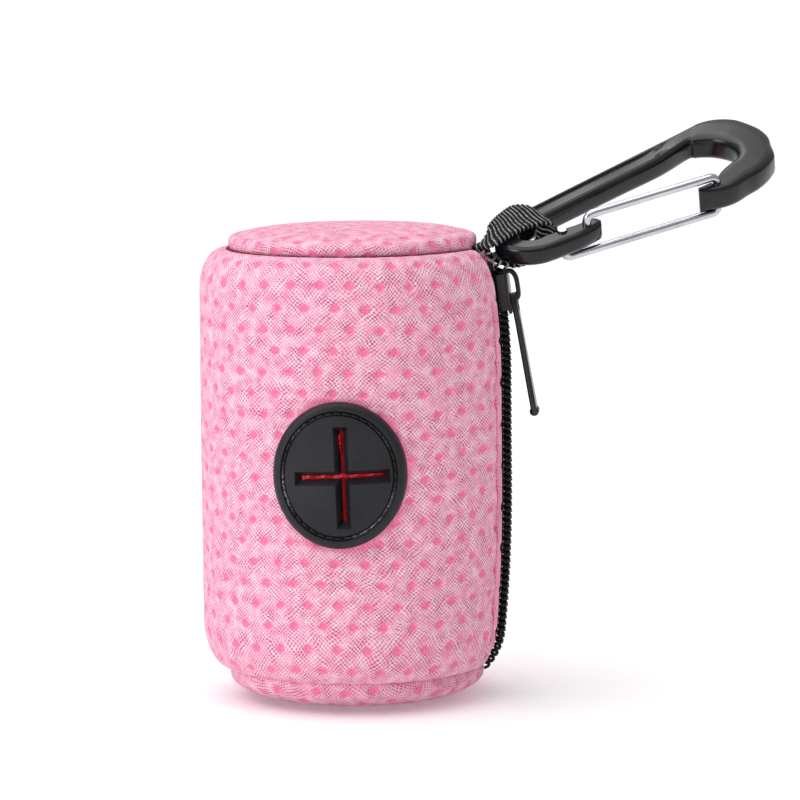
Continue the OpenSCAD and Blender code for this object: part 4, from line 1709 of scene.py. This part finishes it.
def prism(outline: Array, thickness: float, bevel: float, segments: int = 3) -> Form:
    """A flat outline given thickness, its long edges rounded.

    Args:
        outline: points of a convex or gently concave outline, counter-clockwise, in x and y.
        thickness: how thick the slab is, centred on z = 0.
        bevel: radius of its rounded edges.
        segments: steps in each rounding.

    Returns:
        The slab.
    """
    count = len(outline)
    ahead = unit(np.roll(outline, -1, axis=0) - outline)
    normal = np.stack([ahead[:, 1], -ahead[:, 0]], axis=1)
    corner = normal + np.roll(normal, 1, axis=0)
    corner /= np.maximum((corner**2).sum(axis=1) / 2, 0.3)[:, None]
    half = thickness / 2
    turn = np.radians(np.linspace(0, 90, segments + 1))
    profile = [(bevel * (1 - math.sin(a)), -half + bevel * (1 - math.cos(a))) for a in turn]
    profile += [(inset, -level) for inset, level in reversed(profile)]
    rings = [np.column_stack([outline - corner * inset, np.full(count, level)]) for inset, level in profile]
    return loft(np.array(rings))


def ribbon(path: Array, width: float, thickness: float, bevel: float, across: Array) -> Form:
    """A flat bar bent along a plane path.

    Args:
        path: points of its middle.
        width: size across the path's plane.
        thickness: size in the path's plane.
        bevel: how much its corners are cut back.
        across: unit direction of its width.

    Returns:
        The bent bar.
    """
    face = np.cross(unit(np.gradient(path, axis=0)), across)
    a, b, c = width / 2, thickness / 2, bevel
    section = [(-a, -b + c), (-a + c * 0.3, -b + c * 0.3), (-a + c, -b), (a - c, -b)]
    section += [(a - c * 0.3, -b + c * 0.3), (a, -b + c)]
    section += [(-x, -y) for x, y in section]
    rings = [[p + across * x + face[i] * y for x, y in section] for i, p in enumerate(path)]
    return loft(np.array(rings))


@dataclass(frozen=True)
class Slider:
    """The cast slider: two plates with turned lips, a hooked bridge, and the pull that hangs from it."""

    line: ZipLine = ZipLine()
    coil_out_r: float = 30.5
    coil_in_r: float = 28.7
    inner_face: float = 27.3
    middle_z: float = 79.9
    length: float = 9.2
    top_half: float = 4.1
    low_half: float = 3.1
    gap: float = 0.2
    plate_t: float = 0.6
    bridge_w: float = 1.9
    bridge_t: float = 0.85
    pull_l: float = 24.0
    pull_w: float = 4.6
    pull_t: float = 1.15
    lean: float = 10.0
    eye: tuple[float, float] = (31.9, 78.8)
    eye_r: float = 0.4
    eye_gap: float = 0.2

    def along_zip(self, points: Array) -> Array:
        """Lay points that are drawn as if the zip ran straight up along the zip's own line.

        Args:
            points: points drawn so.

        Returns:
            Points in the pouch's frame.
        """
        drawn, height = self.line.at(np.array([self.middle_z]))
        lean = (self.middle_z - self.line.high_z) / self.line.high_r
        out, up = points[..., 0] - self.coil_in_r, points[..., 2] - self.middle_z
        x = self.coil_in_r - drawn[0] + out * math.cos(lean) - up * math.sin(lean)
        z = height[0] + out * math.sin(lean) + up * math.cos(lean)
        return np.stack([x, points[..., 1], z], axis=-1)

    def outline(self) -> Array:
        """The plates' outline: broad at the mouths, narrow where the closed chain leaves.

        Returns:
            Points across and up the zip.
        """
        half, top, low = self.length / 2, self.top_half, self.low_half
        right = [[low - 0.9, -half], [low - 0.25, -half + 0.25], [low, -half + 0.9], [low, -2.6]]
        right += [[low + 0.25, -1.6], [top - 0.2, 0.0], [top, 0.9], [top, half - 1.5]]
        right += [[top - 0.4, half - 0.5], [top - 1.3, half]]
        return np.array(right + [[-x, z] for x, z in reversed(right)])

    def upright(self, form: Form, radius: float) -> Form:
        """Stand a slab drawn in the plane of the zip up against it, its middle at a radius.

        Args:
            form: the slab.
            radius: radius of its middle.

        Returns:
            The slab in its place.
        """
        p = form.points
        return Form(np.stack([radius + p[:, 2], p[:, 0], self.middle_z + p[:, 1]], axis=-1), form.faces)

    def lip(self, side: int) -> Form:
        """One turned lip, which runs down the side of the outer plate.

        Args:
            side: minus one for the front lip, plus one for the rear one.

        Returns:
            The lip.
        """
        half = self.length / 2
        heights = np.array([half - 1.2, 1.2, -0.2, -1.6, -2.6, -half + 0.8])
        across = np.array([self.top_half, self.top_half, self.top_half - 0.25, self.low_half + 0.35])
        across = np.append(across, [self.low_half, self.low_half]) - 0.36
        middle = (self.coil_in_r + 0.4 + self.coil_out_r + self.gap) / 2 + 0.1
        depth = self.coil_out_r + self.gap - self.coil_in_r - 0.2
        rings = []
        for z, y in zip(heights, across):
            section = [(-depth / 2, 0.15), (-depth / 2 + 0.15, 0.33), (depth / 2, 0.36), (depth / 2, -0.33)]
            section += [(-depth / 2 + 0.15, -0.3), (-depth / 2, -0.15)]
            rings.append([[middle + r, side * (y + t), self.middle_z + z] for r, t in section])
        form = loft(np.array(rings))
        return form if side < 0 else form.flipped()

    def body(self) -> Form:
        """Both plates, the lips and the wedge that ties the plates together.

        Returns:
            The shell as one form.
        """
        plate = prism(self.outline(), self.plate_t, 0.28)
        outer = self.upright(plate, self.coil_out_r + self.gap + self.plate_t / 2)
        inner = self.upright(plate, self.inner_face - self.plate_t / 2)
        top = self.middle_z + self.length / 2 - 1.1
        reach = np.linspace(self.inner_face - 0.1, self.coil_out_r + self.gap + 0.1, 4)
        post = tube(np.stack([reach, np.zeros(4), np.full(4, top)], axis=-1), 0.5, 20)
        whole = outer.joined(inner).joined(post).joined(self.lip(-1)).joined(self.lip(1))
        return Form(self.along_zip(whole.points), whole.faces)

    def bridge(self) -> Form:
        """The hooked bridge: up from the plate's top, over, down, and in round the pull's bar.

        Returns:
            The bridge.
        """
        plate = self.coil_out_r + self.gap + self.plate_t - 0.1
        top = self.middle_z + self.length / 2
        out = self.eye[0] + self.eye_r + self.eye_gap + self.bridge_t / 2
        low = self.eye[1] - self.eye_r - self.eye_gap - self.bridge_t / 2
        stations = np.array([
            [plate - 0.4, top - 1.1], [plate + 0.2, top - 0.9], [plate + 0.75, top - 0.95],
            [out - 0.45, top - 1.5],
            [out - 0.08, top - 2.5], [out, top - 3.6],
            [out, self.eye[1] + 0.4], [out - 0.2, self.eye[1] - 0.5],
            [self.eye[0] + 0.1, low], [self.eye[0] - 0.55, low + 0.02], [plate, low + 0.3],
        ])
        fine = smooth_stations(stations, 6)
        path = np.stack([fine[:, 0], np.zeros(len(fine)), fine[:, 1]], axis=-1)
        bar = ribbon(path, self.bridge_w, self.bridge_t, 0.3, np.array([0, 1.0, 0]))
        return Form(self.along_zip(bar.points), bar.faces)

    def pull(self) -> Form:
        """The pull: a bar between two arms, a long flat tongue and a rolled end.

        Returns:
            The pull in its place at rest.
        """
        inner = self.bridge_w / 2 + 0.35
        outer = inner + 1.0
        end = self.pull_w / 2
        eye_l = self.eye_r + 2 * self.eye_gap + self.bridge_t + 1.3
        tongue_top = -eye_l
        half = [[end - 1.0, -self.pull_l], [end - 0.3, -self.pull_l + 0.3], [end, -self.pull_l + 1.0]]
        half += [[end, -self.pull_l + 3.0]]
        half += [[outer * 0.72, tongue_top - 2.4], [outer * 0.86, tongue_top - 1.1]]
        half += [[outer, tongue_top]]
        outline = np.array(half + [[-x, z] for x, z in reversed(half)])
        form = prism(outline, self.pull_t, 0.3)
        for side in (-1, 1):
            arm_half = np.array([[inner, tongue_top - 0.3], [outer, tongue_top - 0.3], [outer, -0.3]])
            arm_half = np.vstack([arm_half, [[outer - 0.25, 0.35], [inner + 0.15, 0.35], [inner, -0.2]]])
            arm = arm_half if side > 0 else (arm_half * [-1, 1])[::-1]
            form = form.joined(prism(arm, self.pull_t, 0.25))
        bar_at = np.linspace(-outer + 0.15, outer - 0.15, 8)
        bar = tube(np.stack([bar_at, np.zeros(8), np.zeros(8)], axis=-1), self.eye_r, 16)
        roll_at = [-end + 0.25, -end + 0.35, *np.linspace(-end + 0.6, end - 0.6, 6), end - 0.35, end - 0.25]
        radius = np.array([0.55, 0.75] + [0.9] * 6 + [0.75, 0.55])
        rolled = tube(np.stack([roll_at, np.full(10, -self.pull_l + 0.9), np.zeros(10)], axis=-1), radius, 20)
        form = form.joined(bar).joined(rolled)
        p = form.points
        turn = math.radians(self.lean)
        out = p[:, 2] * math.cos(turn) - p[:, 1] * math.sin(turn)
        up = p[:, 1] * math.cos(turn) + p[:, 2] * math.sin(turn)
        eye = self.along_zip(np.array([self.eye[0], 0.0, self.eye[1]]))
        return Form(np.stack([eye[0] + out, p[:, 0], eye[2] + up], axis=-1), form.faces)

    def build(self) -> None:
        """Make the slider, its bridge and its pull."""
        enamel = SLIDER_ENAMEL.make()
        place("slider_shell", self.body(), enamel, "slider", ("slider_body",), crease=35)
        place("slider_arch", self.bridge(), enamel, "slider", ("slider_bridge",), crease=50)
        place("pull_tab", self.pull(), enamel, "pull", ("zip_pull",), crease=35)


# ---------------------------------------------------------------- carabiner


@dataclass(frozen=True)
class HookFrame:
    """The carabiner's own directions: u along its spine, v towards its gate, w through its thickness.

    They form a left-handed set, so a form that is drawn in them is wound the other way in the pouch's frame.
    """

    origin: tuple[float, float, float] = (33.45, 12.28, 93.79)
    u: tuple[float, float, float] = (0.6811, 0.6647, 0.3072)
    w: tuple[float, float, float] = (-0.0527, -0.3739, 0.9260)
    pivot: tuple[float, float] = (1.4, 14.85)
    slope: float = 16.6

    def out(self, points: Array) -> Array:
        """Places in the pouch's frame of points given as u, v, w.

        Args:
            points: the points.

        Returns:
            One place per point.
        """
        u, w = np.array(self.u), np.array(self.w)
        v = np.cross(u, w)
        return np.array(self.origin) + points @ np.stack([u, v, w])

    def from_gate(self, points: Array) -> Array:
        """Places as u, v, w of points given along the gate, across it and through the thickness.

        Args:
            points: the points.

        Returns:
            One place per point.
        """
        c, s = math.cos(math.radians(self.slope)), math.sin(math.radians(self.slope))
        along = self.pivot[0] + points[:, 0] * c - points[:, 1] * s
        across = self.pivot[1] + points[:, 0] * s + points[:, 1] * c
        return np.stack([along, across, points[:, 2]], axis=-1)


@dataclass(frozen=True)
class Carabiner:
    """The moulded hook: one body swept from the hinge arm round the elbow, spine and hook to the nose."""

    frame: HookFrame = HookFrame()
    elbow_c: tuple[float, float] = (-7.8, 8.6)
    elbow_r: float = 7.3
    bight_c: tuple[float, float] = (37.0, 11.4)
    bight_r: float = 7.2
    spine_w: float = 5.8
    corner_r: float = 1.15
    wire_r: float = 0.85
    gate_l: float = 29.1
    leg_h: float = 3.85
    tail_l: float = 5.4
    bend_r: float = 1.5
    pin_top: float = 2.35
    channel: tuple[float, float] = (15.6, 19.3)
    finer: int = 5

    def edges(self) -> tuple[Array, Array, Array]:
        """Outer edge, inner edge and half thickness at each station from the arm's tip to the nose.

        Returns:
            Both edges as u and v, and the half thickness.
        """
        outer = [[5.15, 14.75], [4.7, 15.5], [3.7, 16.3], [1.3, 16.8], [-2.2, 16.9], [-5.6, 16.4]]
        outer += arc(self.elbow_c, self.elbow_r, 104, 215, 8)
        outer += [[-10.6, 1.5], [-5.5, 0.2], [6, 0], [20, 0], [33, 0]]
        outer += arc((46.2, 7), 7, -100, 0, 5) + arc((40.2, 9.5), 13, 9, 46, 3)
        outer += arc((36, 8), 17.8, 53, 92, 4)
        outer += [[31.5, 26.2], [28.2, 25.4], [25.8, 23.7], [24.6, 22.8]]
        inner = [[5.15, 14.45], [4.8, 14.1], [3.8, 13.5], [1.5, 12.9], [-1.0, 12.3], [-3.6, 11.7]]
        inner += arc((-7.4, 8.5), 2.9, 70, 235, 8)
        inner += [[-7.6, 5.55], [-4.5, self.spine_w - 0.1], [6, self.spine_w], [20, self.spine_w]]
        inner += [[31, self.spine_w + 0.1]]
        for start, end, steps in ((-70, -8, 5), (0, 30, 3), (42, 82, 4)):
            inner += arc(self.bight_c, self.bight_r, start, end, steps)
        inner += [[34.0, 19.7], [30.6, 21.4], [27.5, 22.0], [25.2, 22.0]]
        thick_at, thick = [0, 1, 2, 5, 14, 19, 25, 60], [1.0, 1.6, 1.9, 1.95, 1.95, 2.2, 2.5, 2.5]
        half = np.interp(range(len(outer)), thick_at, thick)
        return np.array(outer), np.array(inner), half

    def section(self, width: float, half: float, spine: float) -> list[tuple[float, float]]:
        """Section of the body: distance in from the outer edge, and height, with its faces' channels.

        Args:
            width: from outer to inner edge.
            half: half of the thickness.
            spine: one along the spine, where each face is channelled, and zero elsewhere.

        Returns:
            Points round the section.
        """
        r = min(self.corner_r, width * 0.42, half * 0.6)
        channel = min(1.45, width * 0.25)
        deep = 0.5 * spine
        bend = np.radians([0, 30, 60, 90])
        upper = [(width - r + r * math.sin(a), half - r + r * math.cos(a)) for a in bend[::-1]]
        middle = width / 2
        upper += [(middle + channel + 0.25, half), (middle + channel, half - deep * 0.9)]
        upper += [(middle, half - deep), (middle - channel, half - deep * 0.9)]
        upper += [(middle - channel - 0.25, half)]
        upper += [(r - r * math.sin(a), half - r + r * math.cos(a)) for a in bend]
        return upper + [(d, -h) for d, h in reversed(upper)]

    def body(self) -> Form:
        """The swept body before its holes are cut.

        Returns:
            The body in the pouch's frame.
        """
        outer, inner, half = self.edges()
        order = np.arange(len(outer), dtype=float)
        stations = smooth_stations(np.column_stack([outer, inner, half, order]), self.finer)
        rings = []
        for ax, ay, bx, by, half_t, at in stations:
            a, b = np.array([ax, ay]), np.array([bx, by])
            spine = float(np.clip(min(at - self.channel[0], self.channel[1] - at) / 0.5, 0, 1))
            section = self.section(float(np.linalg.norm(b - a)), half_t, spine)
            rings.append([[*(a + unit(b - a) * d), h] for d, h in section])
        form = loft(np.array(rings))
        return Form(self.frame.out(form.points), form.faces)

    def bore(self, radius: float, at: tuple[float, float]) -> Form:
        """A round cutter through the thickness at a place along the gate.

        Args:
            radius: its radius.
            at: its middle, along the gate and across it.

        Returns:
            The cutter.
        """
        turn = np.linspace(0, 2 * math.pi, 32, endpoint=False)
        return self.cutter(np.array(at) + radius * np.stack([np.cos(turn), np.sin(turn)], axis=-1))

    def cutter(self, outline: Array) -> Form:
        """Run an outline right through the thickness.

        Args:
            outline: points along the gate and across it.

        Returns:
            The solid, wound outwards in the pouch's frame.
        """
        rings = [np.column_stack([outline, np.full(len(outline), level)]) for level in (-5.0, 5.0)]
        return loft(np.array([self.frame.out(self.frame.from_gate(ring)) for ring in rings])).flipped()

    def notch(self) -> Form:
        """Cutter of the notch in the nose that the wire's closed end snaps into.

        Returns:
            The cutter.
        """
        r = self.wire_r + 0.12
        edge = arc((self.gate_l, 0.0), r, 0, 180, 16)
        return self.cutter(np.array(edge + [[self.gate_l - r, -4.0], [self.gate_l + r + 0.15, -4.0]]))

    def gate(self) -> Form:
        """The whole bent wire: a pin in the arm, two legs round the nose, and the pin of its other end.

        Returns:
            The wire in the pouch's frame.
        """
        rise, r = self.leg_h, self.bend_r

        def bend(centre: tuple[float, float], start: float, end: float) -> list[list[float]]:
            """Points round one bend, in the plane along the gate and through the thickness.

            Args:
                centre: the bend's middle.
                start: angle of the first point, in degrees.
                end: angle of the last point.

            Returns:
                The points.
            """
            return [[x, 0.0, z] for x, z in arc(centre, r, start, end, 8)]

        path = [[0.0, 0.0, 0.0], [0.0, 0.0, rise - r - 0.2]]
        path += bend((r, rise - r), 180, 90)
        path += [[x, 0.0, rise] for x in np.linspace(r + 1, self.gate_l - r - 1, 10)]
        path += bend((self.gate_l - r, rise - r), 90, 0)
        path += [[self.gate_l, 0.0, z] for z in np.linspace(rise - r - 0.3, r + 0.3 - rise, 6)]
        path += bend((self.gate_l - r, r - rise), 0, -90)
        path += [[x, 0.0, -rise] for x in np.linspace(self.gate_l - r - 1, 0.5 + r - self.tail_l, 13)]
        path += bend((r - self.tail_l, r - rise), -90, -180)
        path += [[-self.tail_l, 0.0, z] for z in np.linspace(r - rise + 0.2, self.pin_top, 4)]
        return tube(self.frame.out(self.frame.from_gate(np.array(path))), self.wire_r, 20)

    def build(self) -> None:
        """Make the hook and its wire gate."""
        nylon, steel = HOOK_NYLON.make(), GATE_STEEL.make()
        hook = place("hook_body", self.body(), nylon, "carabiner", ("carabiner_body",))
        bores = [self.bore(self.wire_r + 0.08, (0.0, 0.0))]
        bores += [self.bore(self.wire_r + 0.22, (-self.tail_l, 0.0))]
        carved(hook, bores + [self.notch()], 38)
        hook.data.flip_normals()  # its left-handed frame winds it inwards
        stands_for = ("gate_wire", "gate_wire_tail")
        wire = place("gate_wire_whole", self.gate(), steel, None, stands_for)
        crossing = np.array([[-0.45, 0.0, -self.leg_h], [0.45, 0.0, -self.leg_h]])
        start, end = self.frame.out(self.frame.from_gate(crossing)) * MM
        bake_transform(wire)


# ---------------------------------------------------------------- webbing


@dataclass(frozen=True)
class Webbing:
    """The tape that is sewn into the seam, runs through the carabiner's elbow and comes back."""

    frame: HookFrame = HookFrame()
    width: float = 9.0
    thickness: float = 1.0
    root: tuple[float, float, float] = (25.05, 0.0, 88.3)
    tail_l: float = 2.9
    bend: tuple = ((25.2, 0.0, 88.3), (27.5, 0.8, 88.8))
    rib: float = 0.95
    rib_h: float = 0.24
    steps: int = 18
    columns: int = 40

    def stations(self) -> Array:
        """Middle, direction across and width of the tape from one sewn end to the other.

        Returns:
            One row each: middle, direction across, width.
        """
        w = self.width
        over = [
            [26.1, -0.8, 89.9, 0.1, -0.97, -0.22, w], [27.3, -0.4, 91.2, 0.28, -0.9, -0.34, w],
            [29.7, 2.6, 92.9, 0.41, -0.86, -0.32, w * 1.08], [32.5, 5.6, 94.15, 0.5, -0.8, -0.33, w * 1.12],
            [35.2, 5.9, 94.35, 0.52, -0.8, -0.31, w * 1.08], [36.5, 5.0, 93.75, 0.55, -0.78, -0.3, w],
        ]
        under = [
            [-3.4, 8.5, 1.2, 0, 1, 0, w * 0.66], [-3.8, 8.6, 0, 0, 1, 0, w * 0.56],
            [-4.6, 8.5, -1.9, 0, 1, 0, w * 0.6], [-6.6, 7.9, -2.95, 0, 1, 0, w * 0.75],
            [-9.8, 6.8, -3.0, 0, 1, 0, w * 0.9], [-13.2, 5.6, -2.85, -0.15, 0.98, 0.05, w * 0.98],
            [-14.9, 4.3, -1.7, -0.45, 0.84, 0.22, w], [-15.1, 3.3, 0.2, -0.66, 0.65, 0.37, w],
        ]
        under = np.array(under)
        across = self.frame.out(under[:, 3:6]) - np.array(self.frame.origin)
        under = np.column_stack([self.frame.out(under[:, :3]), across, under[:, 6]])
        sewn = [
            [*(np.array(self.root) + [-back, 0, up * self.thickness / 2]), 0, -1, 0, w]
            for back, up in ((self.tail_l, 1), (0.9, 1), (0.9, -1), (self.tail_l, -1))
        ]
        return np.vstack([sewn[:2], over, under, sewn[2:]])

    def strap(self) -> Form:
        """The tape with its ribs, closed, with flat-cloth places for its weave.

        Returns:
            The tape.
        """
        fine = smooth_stations(self.stations(), self.steps)
        middle, across, width = fine[:, :3], fine[:, 3:6], fine[:, 6]
        across = unit(across)
        face = unit(np.cross(across, np.gradient(middle, axis=0)))
        along = np.concatenate([[0], np.cumsum(np.linalg.norm(np.diff(middle, axis=0), axis=1))])
        at = np.linspace(-0.5, 0.5, self.columns)
        skew = 0.12 * self.rib * np.sin(at * 9.0)
        ribs = np.cos(2 * math.pi * (along[:, None] + skew) / self.rib)
        edge = np.clip((0.5 - np.abs(at)) * self.width / 0.45, 0, 1)
        half = self.thickness / 2 * np.sqrt(1 - (1 - edge) ** 2 * 0.85) + self.rib_h * (ribs - 1) / 2
        flat = middle[:, None] + across[:, None] * (at * width[:, None])[..., None]
        lift = face[:, None] * half[..., None]
        places = np.stack([along[:, None] + skew, np.broadcast_to(at * self.width, ribs.shape)], axis=-1)
        faces = grid_faces(len(fine), self.columns)
        return layer(flat + lift, flat - lift, faces, places.reshape(-1, 2))

    def build(self) -> None:
        """Make the tape."""
        weave = RIBBED_WEBBING.make()
        stands_for = ("webbing_loop", "webbing_tail")
        strap = place("webbing_strap", self.strap(), weave, None, stands_for, 60)
        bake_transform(strap)


# ---------------------------------------------------------------- bags


@dataclass(frozen=True)
class Bags:
    """The wound roll of film bags, and the crumpled lead that shows in the port's slots."""

    radius: float = 17.4
    core_r: float = 6.5
    length: float = 61.9
    floor_z: float = 3.55
    film_deep: float = 1.75
    port: Port = Port()

    def roll(self) -> Form:
        """The roll: its side and its ends, where the wound edges show as fine rings.

        Returns:
            The roll.
        """
        turns = np.linspace(0, 2 * math.pi, 96, endpoint=False)
        spacing = np.linspace(self.core_r + 0.02, self.radius - 0.4, 30)
        low = [(r, self.floor_z + 0.12 * (i % 2)) for i, r in enumerate(spacing)]
        side = [(self.radius, self.floor_z + 0.4), (self.radius, self.floor_z + self.length - 0.4)]
        rims = reversed(list(enumerate(spacing)))
        high = [(r, self.floor_z + self.length - 0.12 * (i % 2)) for i, r in rims]
        return loft(np.array([circle(r, z, turns) for r, z in low + side + high]), hoop=True)

    def strip(self, start: tuple[float, float], end: tuple[float, float], wide: tuple[float, float]) -> Form:
        """One creased strip of film between two places on the port, facing out of the slit.

        Args:
            start: place across and up, from the slots' middle.
            end: the place of its other end.
            wide: its width at each end.

        Returns:
            The closed strip.
        """
        share = np.linspace(0, 1, 60)[:, None]
        line = np.array(start) + (np.array(end) - np.array(start)) * share
        way = unit(line[-1] - line[0])
        side = np.array([-way[1], way[0]])
        half = (wide[0] + (wide[1] - wide[0]) * share) / 2
        half = half * (0.9 + 0.12 * np.sin(share * 19.0) + 0.08 * np.sin(share * 47.0))
        rows = []
        for across, deep in ((-1.0, 0.35), (-0.45, 0.0), (0.1, 0.22), (0.55, 0.03), (1.0, 0.4)):
            flat = self.port.turned(line + side * half * across)
            crumple = 0.12 * np.sin(share[:, 0] * 31.0 + across * 5.0) + 0.08 * np.sin(share[:, 0] * 73.0)
            level = np.full(len(flat), self.port.proud - self.film_deep) - deep + crumple
            rows.append(self.port.bent(np.column_stack([flat, level])))
        outer = np.array(rows)
        return layer(outer, outer * [0.97, 0.97, 1.0], grid_faces(len(rows), len(share)))

    def lead(self) -> Form:
        """The film that shows: along the level slit, and gathered to a point at each end of the upright one.

        Returns:
            The film.
        """
        level = self.strip((-7.9, 0.1), (7.6, 0.3), (1.15, 0.7))
        above = self.strip((-0.35, 8.1), (-0.1, 4.4), (0.95, 0.25))
        below = self.strip((0.05, -6.6), (0.1, -8.0), (0.3, 0.8))
        return level.joined(above).joined(below)

    def build(self) -> None:
        """Make the roll and its lead, and dress the card core."""
        film = RED_FILM.make()
        place("bag_roll_wound", self.roll(), film, "roll", ("bag_roll",), crease=30)
        place("bag_lead_film", self.lead(), film, "pouch", ("bag_lead",), crease=60)
        core = bpy.data.objects["roll_core"]
        for holder in core.material_slots:
            holder.material = CORE_CARD.make()
        LOG.info("roll_core: dressed as card")


# ---------------------------------------------------------------- stage


@dataclass(frozen=True)
class Lamp:
    """A soft square lamp that faces the pouch: its name, place and size in metres, and power in watts."""

    name: str
    at: tuple[float, float, float]
    size: float
    watts: float


@dataclass(frozen=True)
class Studio:
    """Camera, lamps and floor of a plain product photograph, in metres where a name doesn't say otherwise."""

    look_from: tuple[float, float, float] = (0.0902, -0.8578, 0.1596)
    look_at: tuple[float, float, float] = (0.00826, 0.00248, 0.05815)
    pixels_per_mm: float = 5.08
    distance_mm: float = 870.0
    picture_px: float = 800.0
    sensor_mm: float = 36.0
    roll: float = 0.5
    floor_half: float = 14.0
    floor: str = "#fcfcfc"
    world: str = "#ffffff"
    dim: str = "#c9c9cd"
    world_strength: float = 0.58
    horizon: tuple[float, float] = (0.3, 0.62)
    key: Lamp = Lamp("key", (-0.85, -0.7, 0.5), 0.5, 5.1)
    strip: Lamp = Lamp("strip", (-0.15, 0.62, 0.77), 0.3, 0.45)
    lamps_aim: tuple[float, float, float] = (0.0, 0.0, 0.05)
    sun_strength: float = 1.78
    sun_breadth: float = 70.0
    sun_tilt: tuple[float, float] = (8.0, -12.0)

    def camera(self) -> None:
        """Put the camera where the photograph was taken from."""
        data = bpy.data.cameras.new("camera")
        data.sensor_width = self.sensor_mm
        data.lens = self.pixels_per_mm * self.distance_mm * self.sensor_mm / self.picture_px
        data.clip_start = 0.05
        data.clip_end = 20.0
        eye = in_scene("camera", data)
        start, end = Vector(self.look_from), Vector(self.look_at)
        turn = (end - start).to_track_quat("-Z", "Y").to_matrix().to_4x4()
        roll = Matrix.Rotation(-math.radians(self.roll), 4, "Z")
        eye.matrix_world = Matrix.Translation(start) @ turn @ roll
        bpy.context.scene.camera = eye

    def hang(self, lamp: Lamp) -> None:
        """Hang a lamp. It casts no shadow, as none is seen in the photograph.

        Args:
            lamp: the lamp.
        """
        data = bpy.data.lights.new(lamp.name, "AREA")
        data.shape = "SQUARE"
        data.size = lamp.size
        data.energy = lamp.watts
        data.use_shadow = False
        start = Vector(lamp.at)
        turn = (Vector(self.lamps_aim) - start).to_track_quat("-Z", "Y").to_matrix().to_4x4()
        in_scene(lamp.name, data).matrix_world = Matrix.Translation(start) @ turn

    def build(self) -> None:
        """Set the stage."""
        self.camera()
        bpy.context.scene.view_settings.view_transform = "Standard"
        self.hang(self.key)
        self.hang(self.strip)
        ceiling = bpy.data.lights.new("ceiling", "SUN")
        ceiling.energy = self.sun_strength
        ceiling.angle = math.radians(self.sun_breadth)
        in_scene("ceiling", ceiling).rotation_euler = (*np.radians(self.sun_tilt).tolist(), 0)
        world = bpy.data.worlds.new("studio")
        world.use_nodes = True
        tree = world.node_tree
        background = tree.nodes["Background"]
        # the room is white overhead and dim near the horizon, where glossy flat faces seen edge-on reflect it
        toward = add(tree, "ShaderNodeSeparateXYZ", {0: add(tree, "ShaderNodeTexCoord")})
        bright = remap(tree, toward.outputs[2], self.horizon)
        tree.links.new(mixed(tree, bright, self.dim, self.world), background.inputs["Color"])
        background.inputs["Strength"].default_value = self.world_strength
        bpy.context.scene.world = world
        half = self.floor_half
        corners = [(-half, -half, 0), (half, -half, 0), (half, half, 0), (-half, half, 0)]
        mesh = bpy.data.meshes.new("floor")
        mesh.from_pydata(corners, [], [(0, 1, 2, 3)])
        numbers = {"roughness": 0.9, "grain_mm": 3.0, "bump_mm": 0.01, "reflection": 0.1}
        paper = SpeckledFinish("floor_paper", self.floor, "#ffffff", **numbers)
        mesh.materials.append(paper.make())
        in_scene("floor", mesh)


def main() -> None:
    """Build the studio and every sub-assembly in order, and report each piece."""
    logging.basicConfig(level=logging.INFO, format="%(name)s: %(message)s")
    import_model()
    Studio().build()
    Pouch().build()
    Port().build()
    Zip().build()
    Topstitch().build()
    Slider().build()
    Webbing().build()
    Carabiner().build()
    Bags().build()


if __name__ == "__main__":
    main()
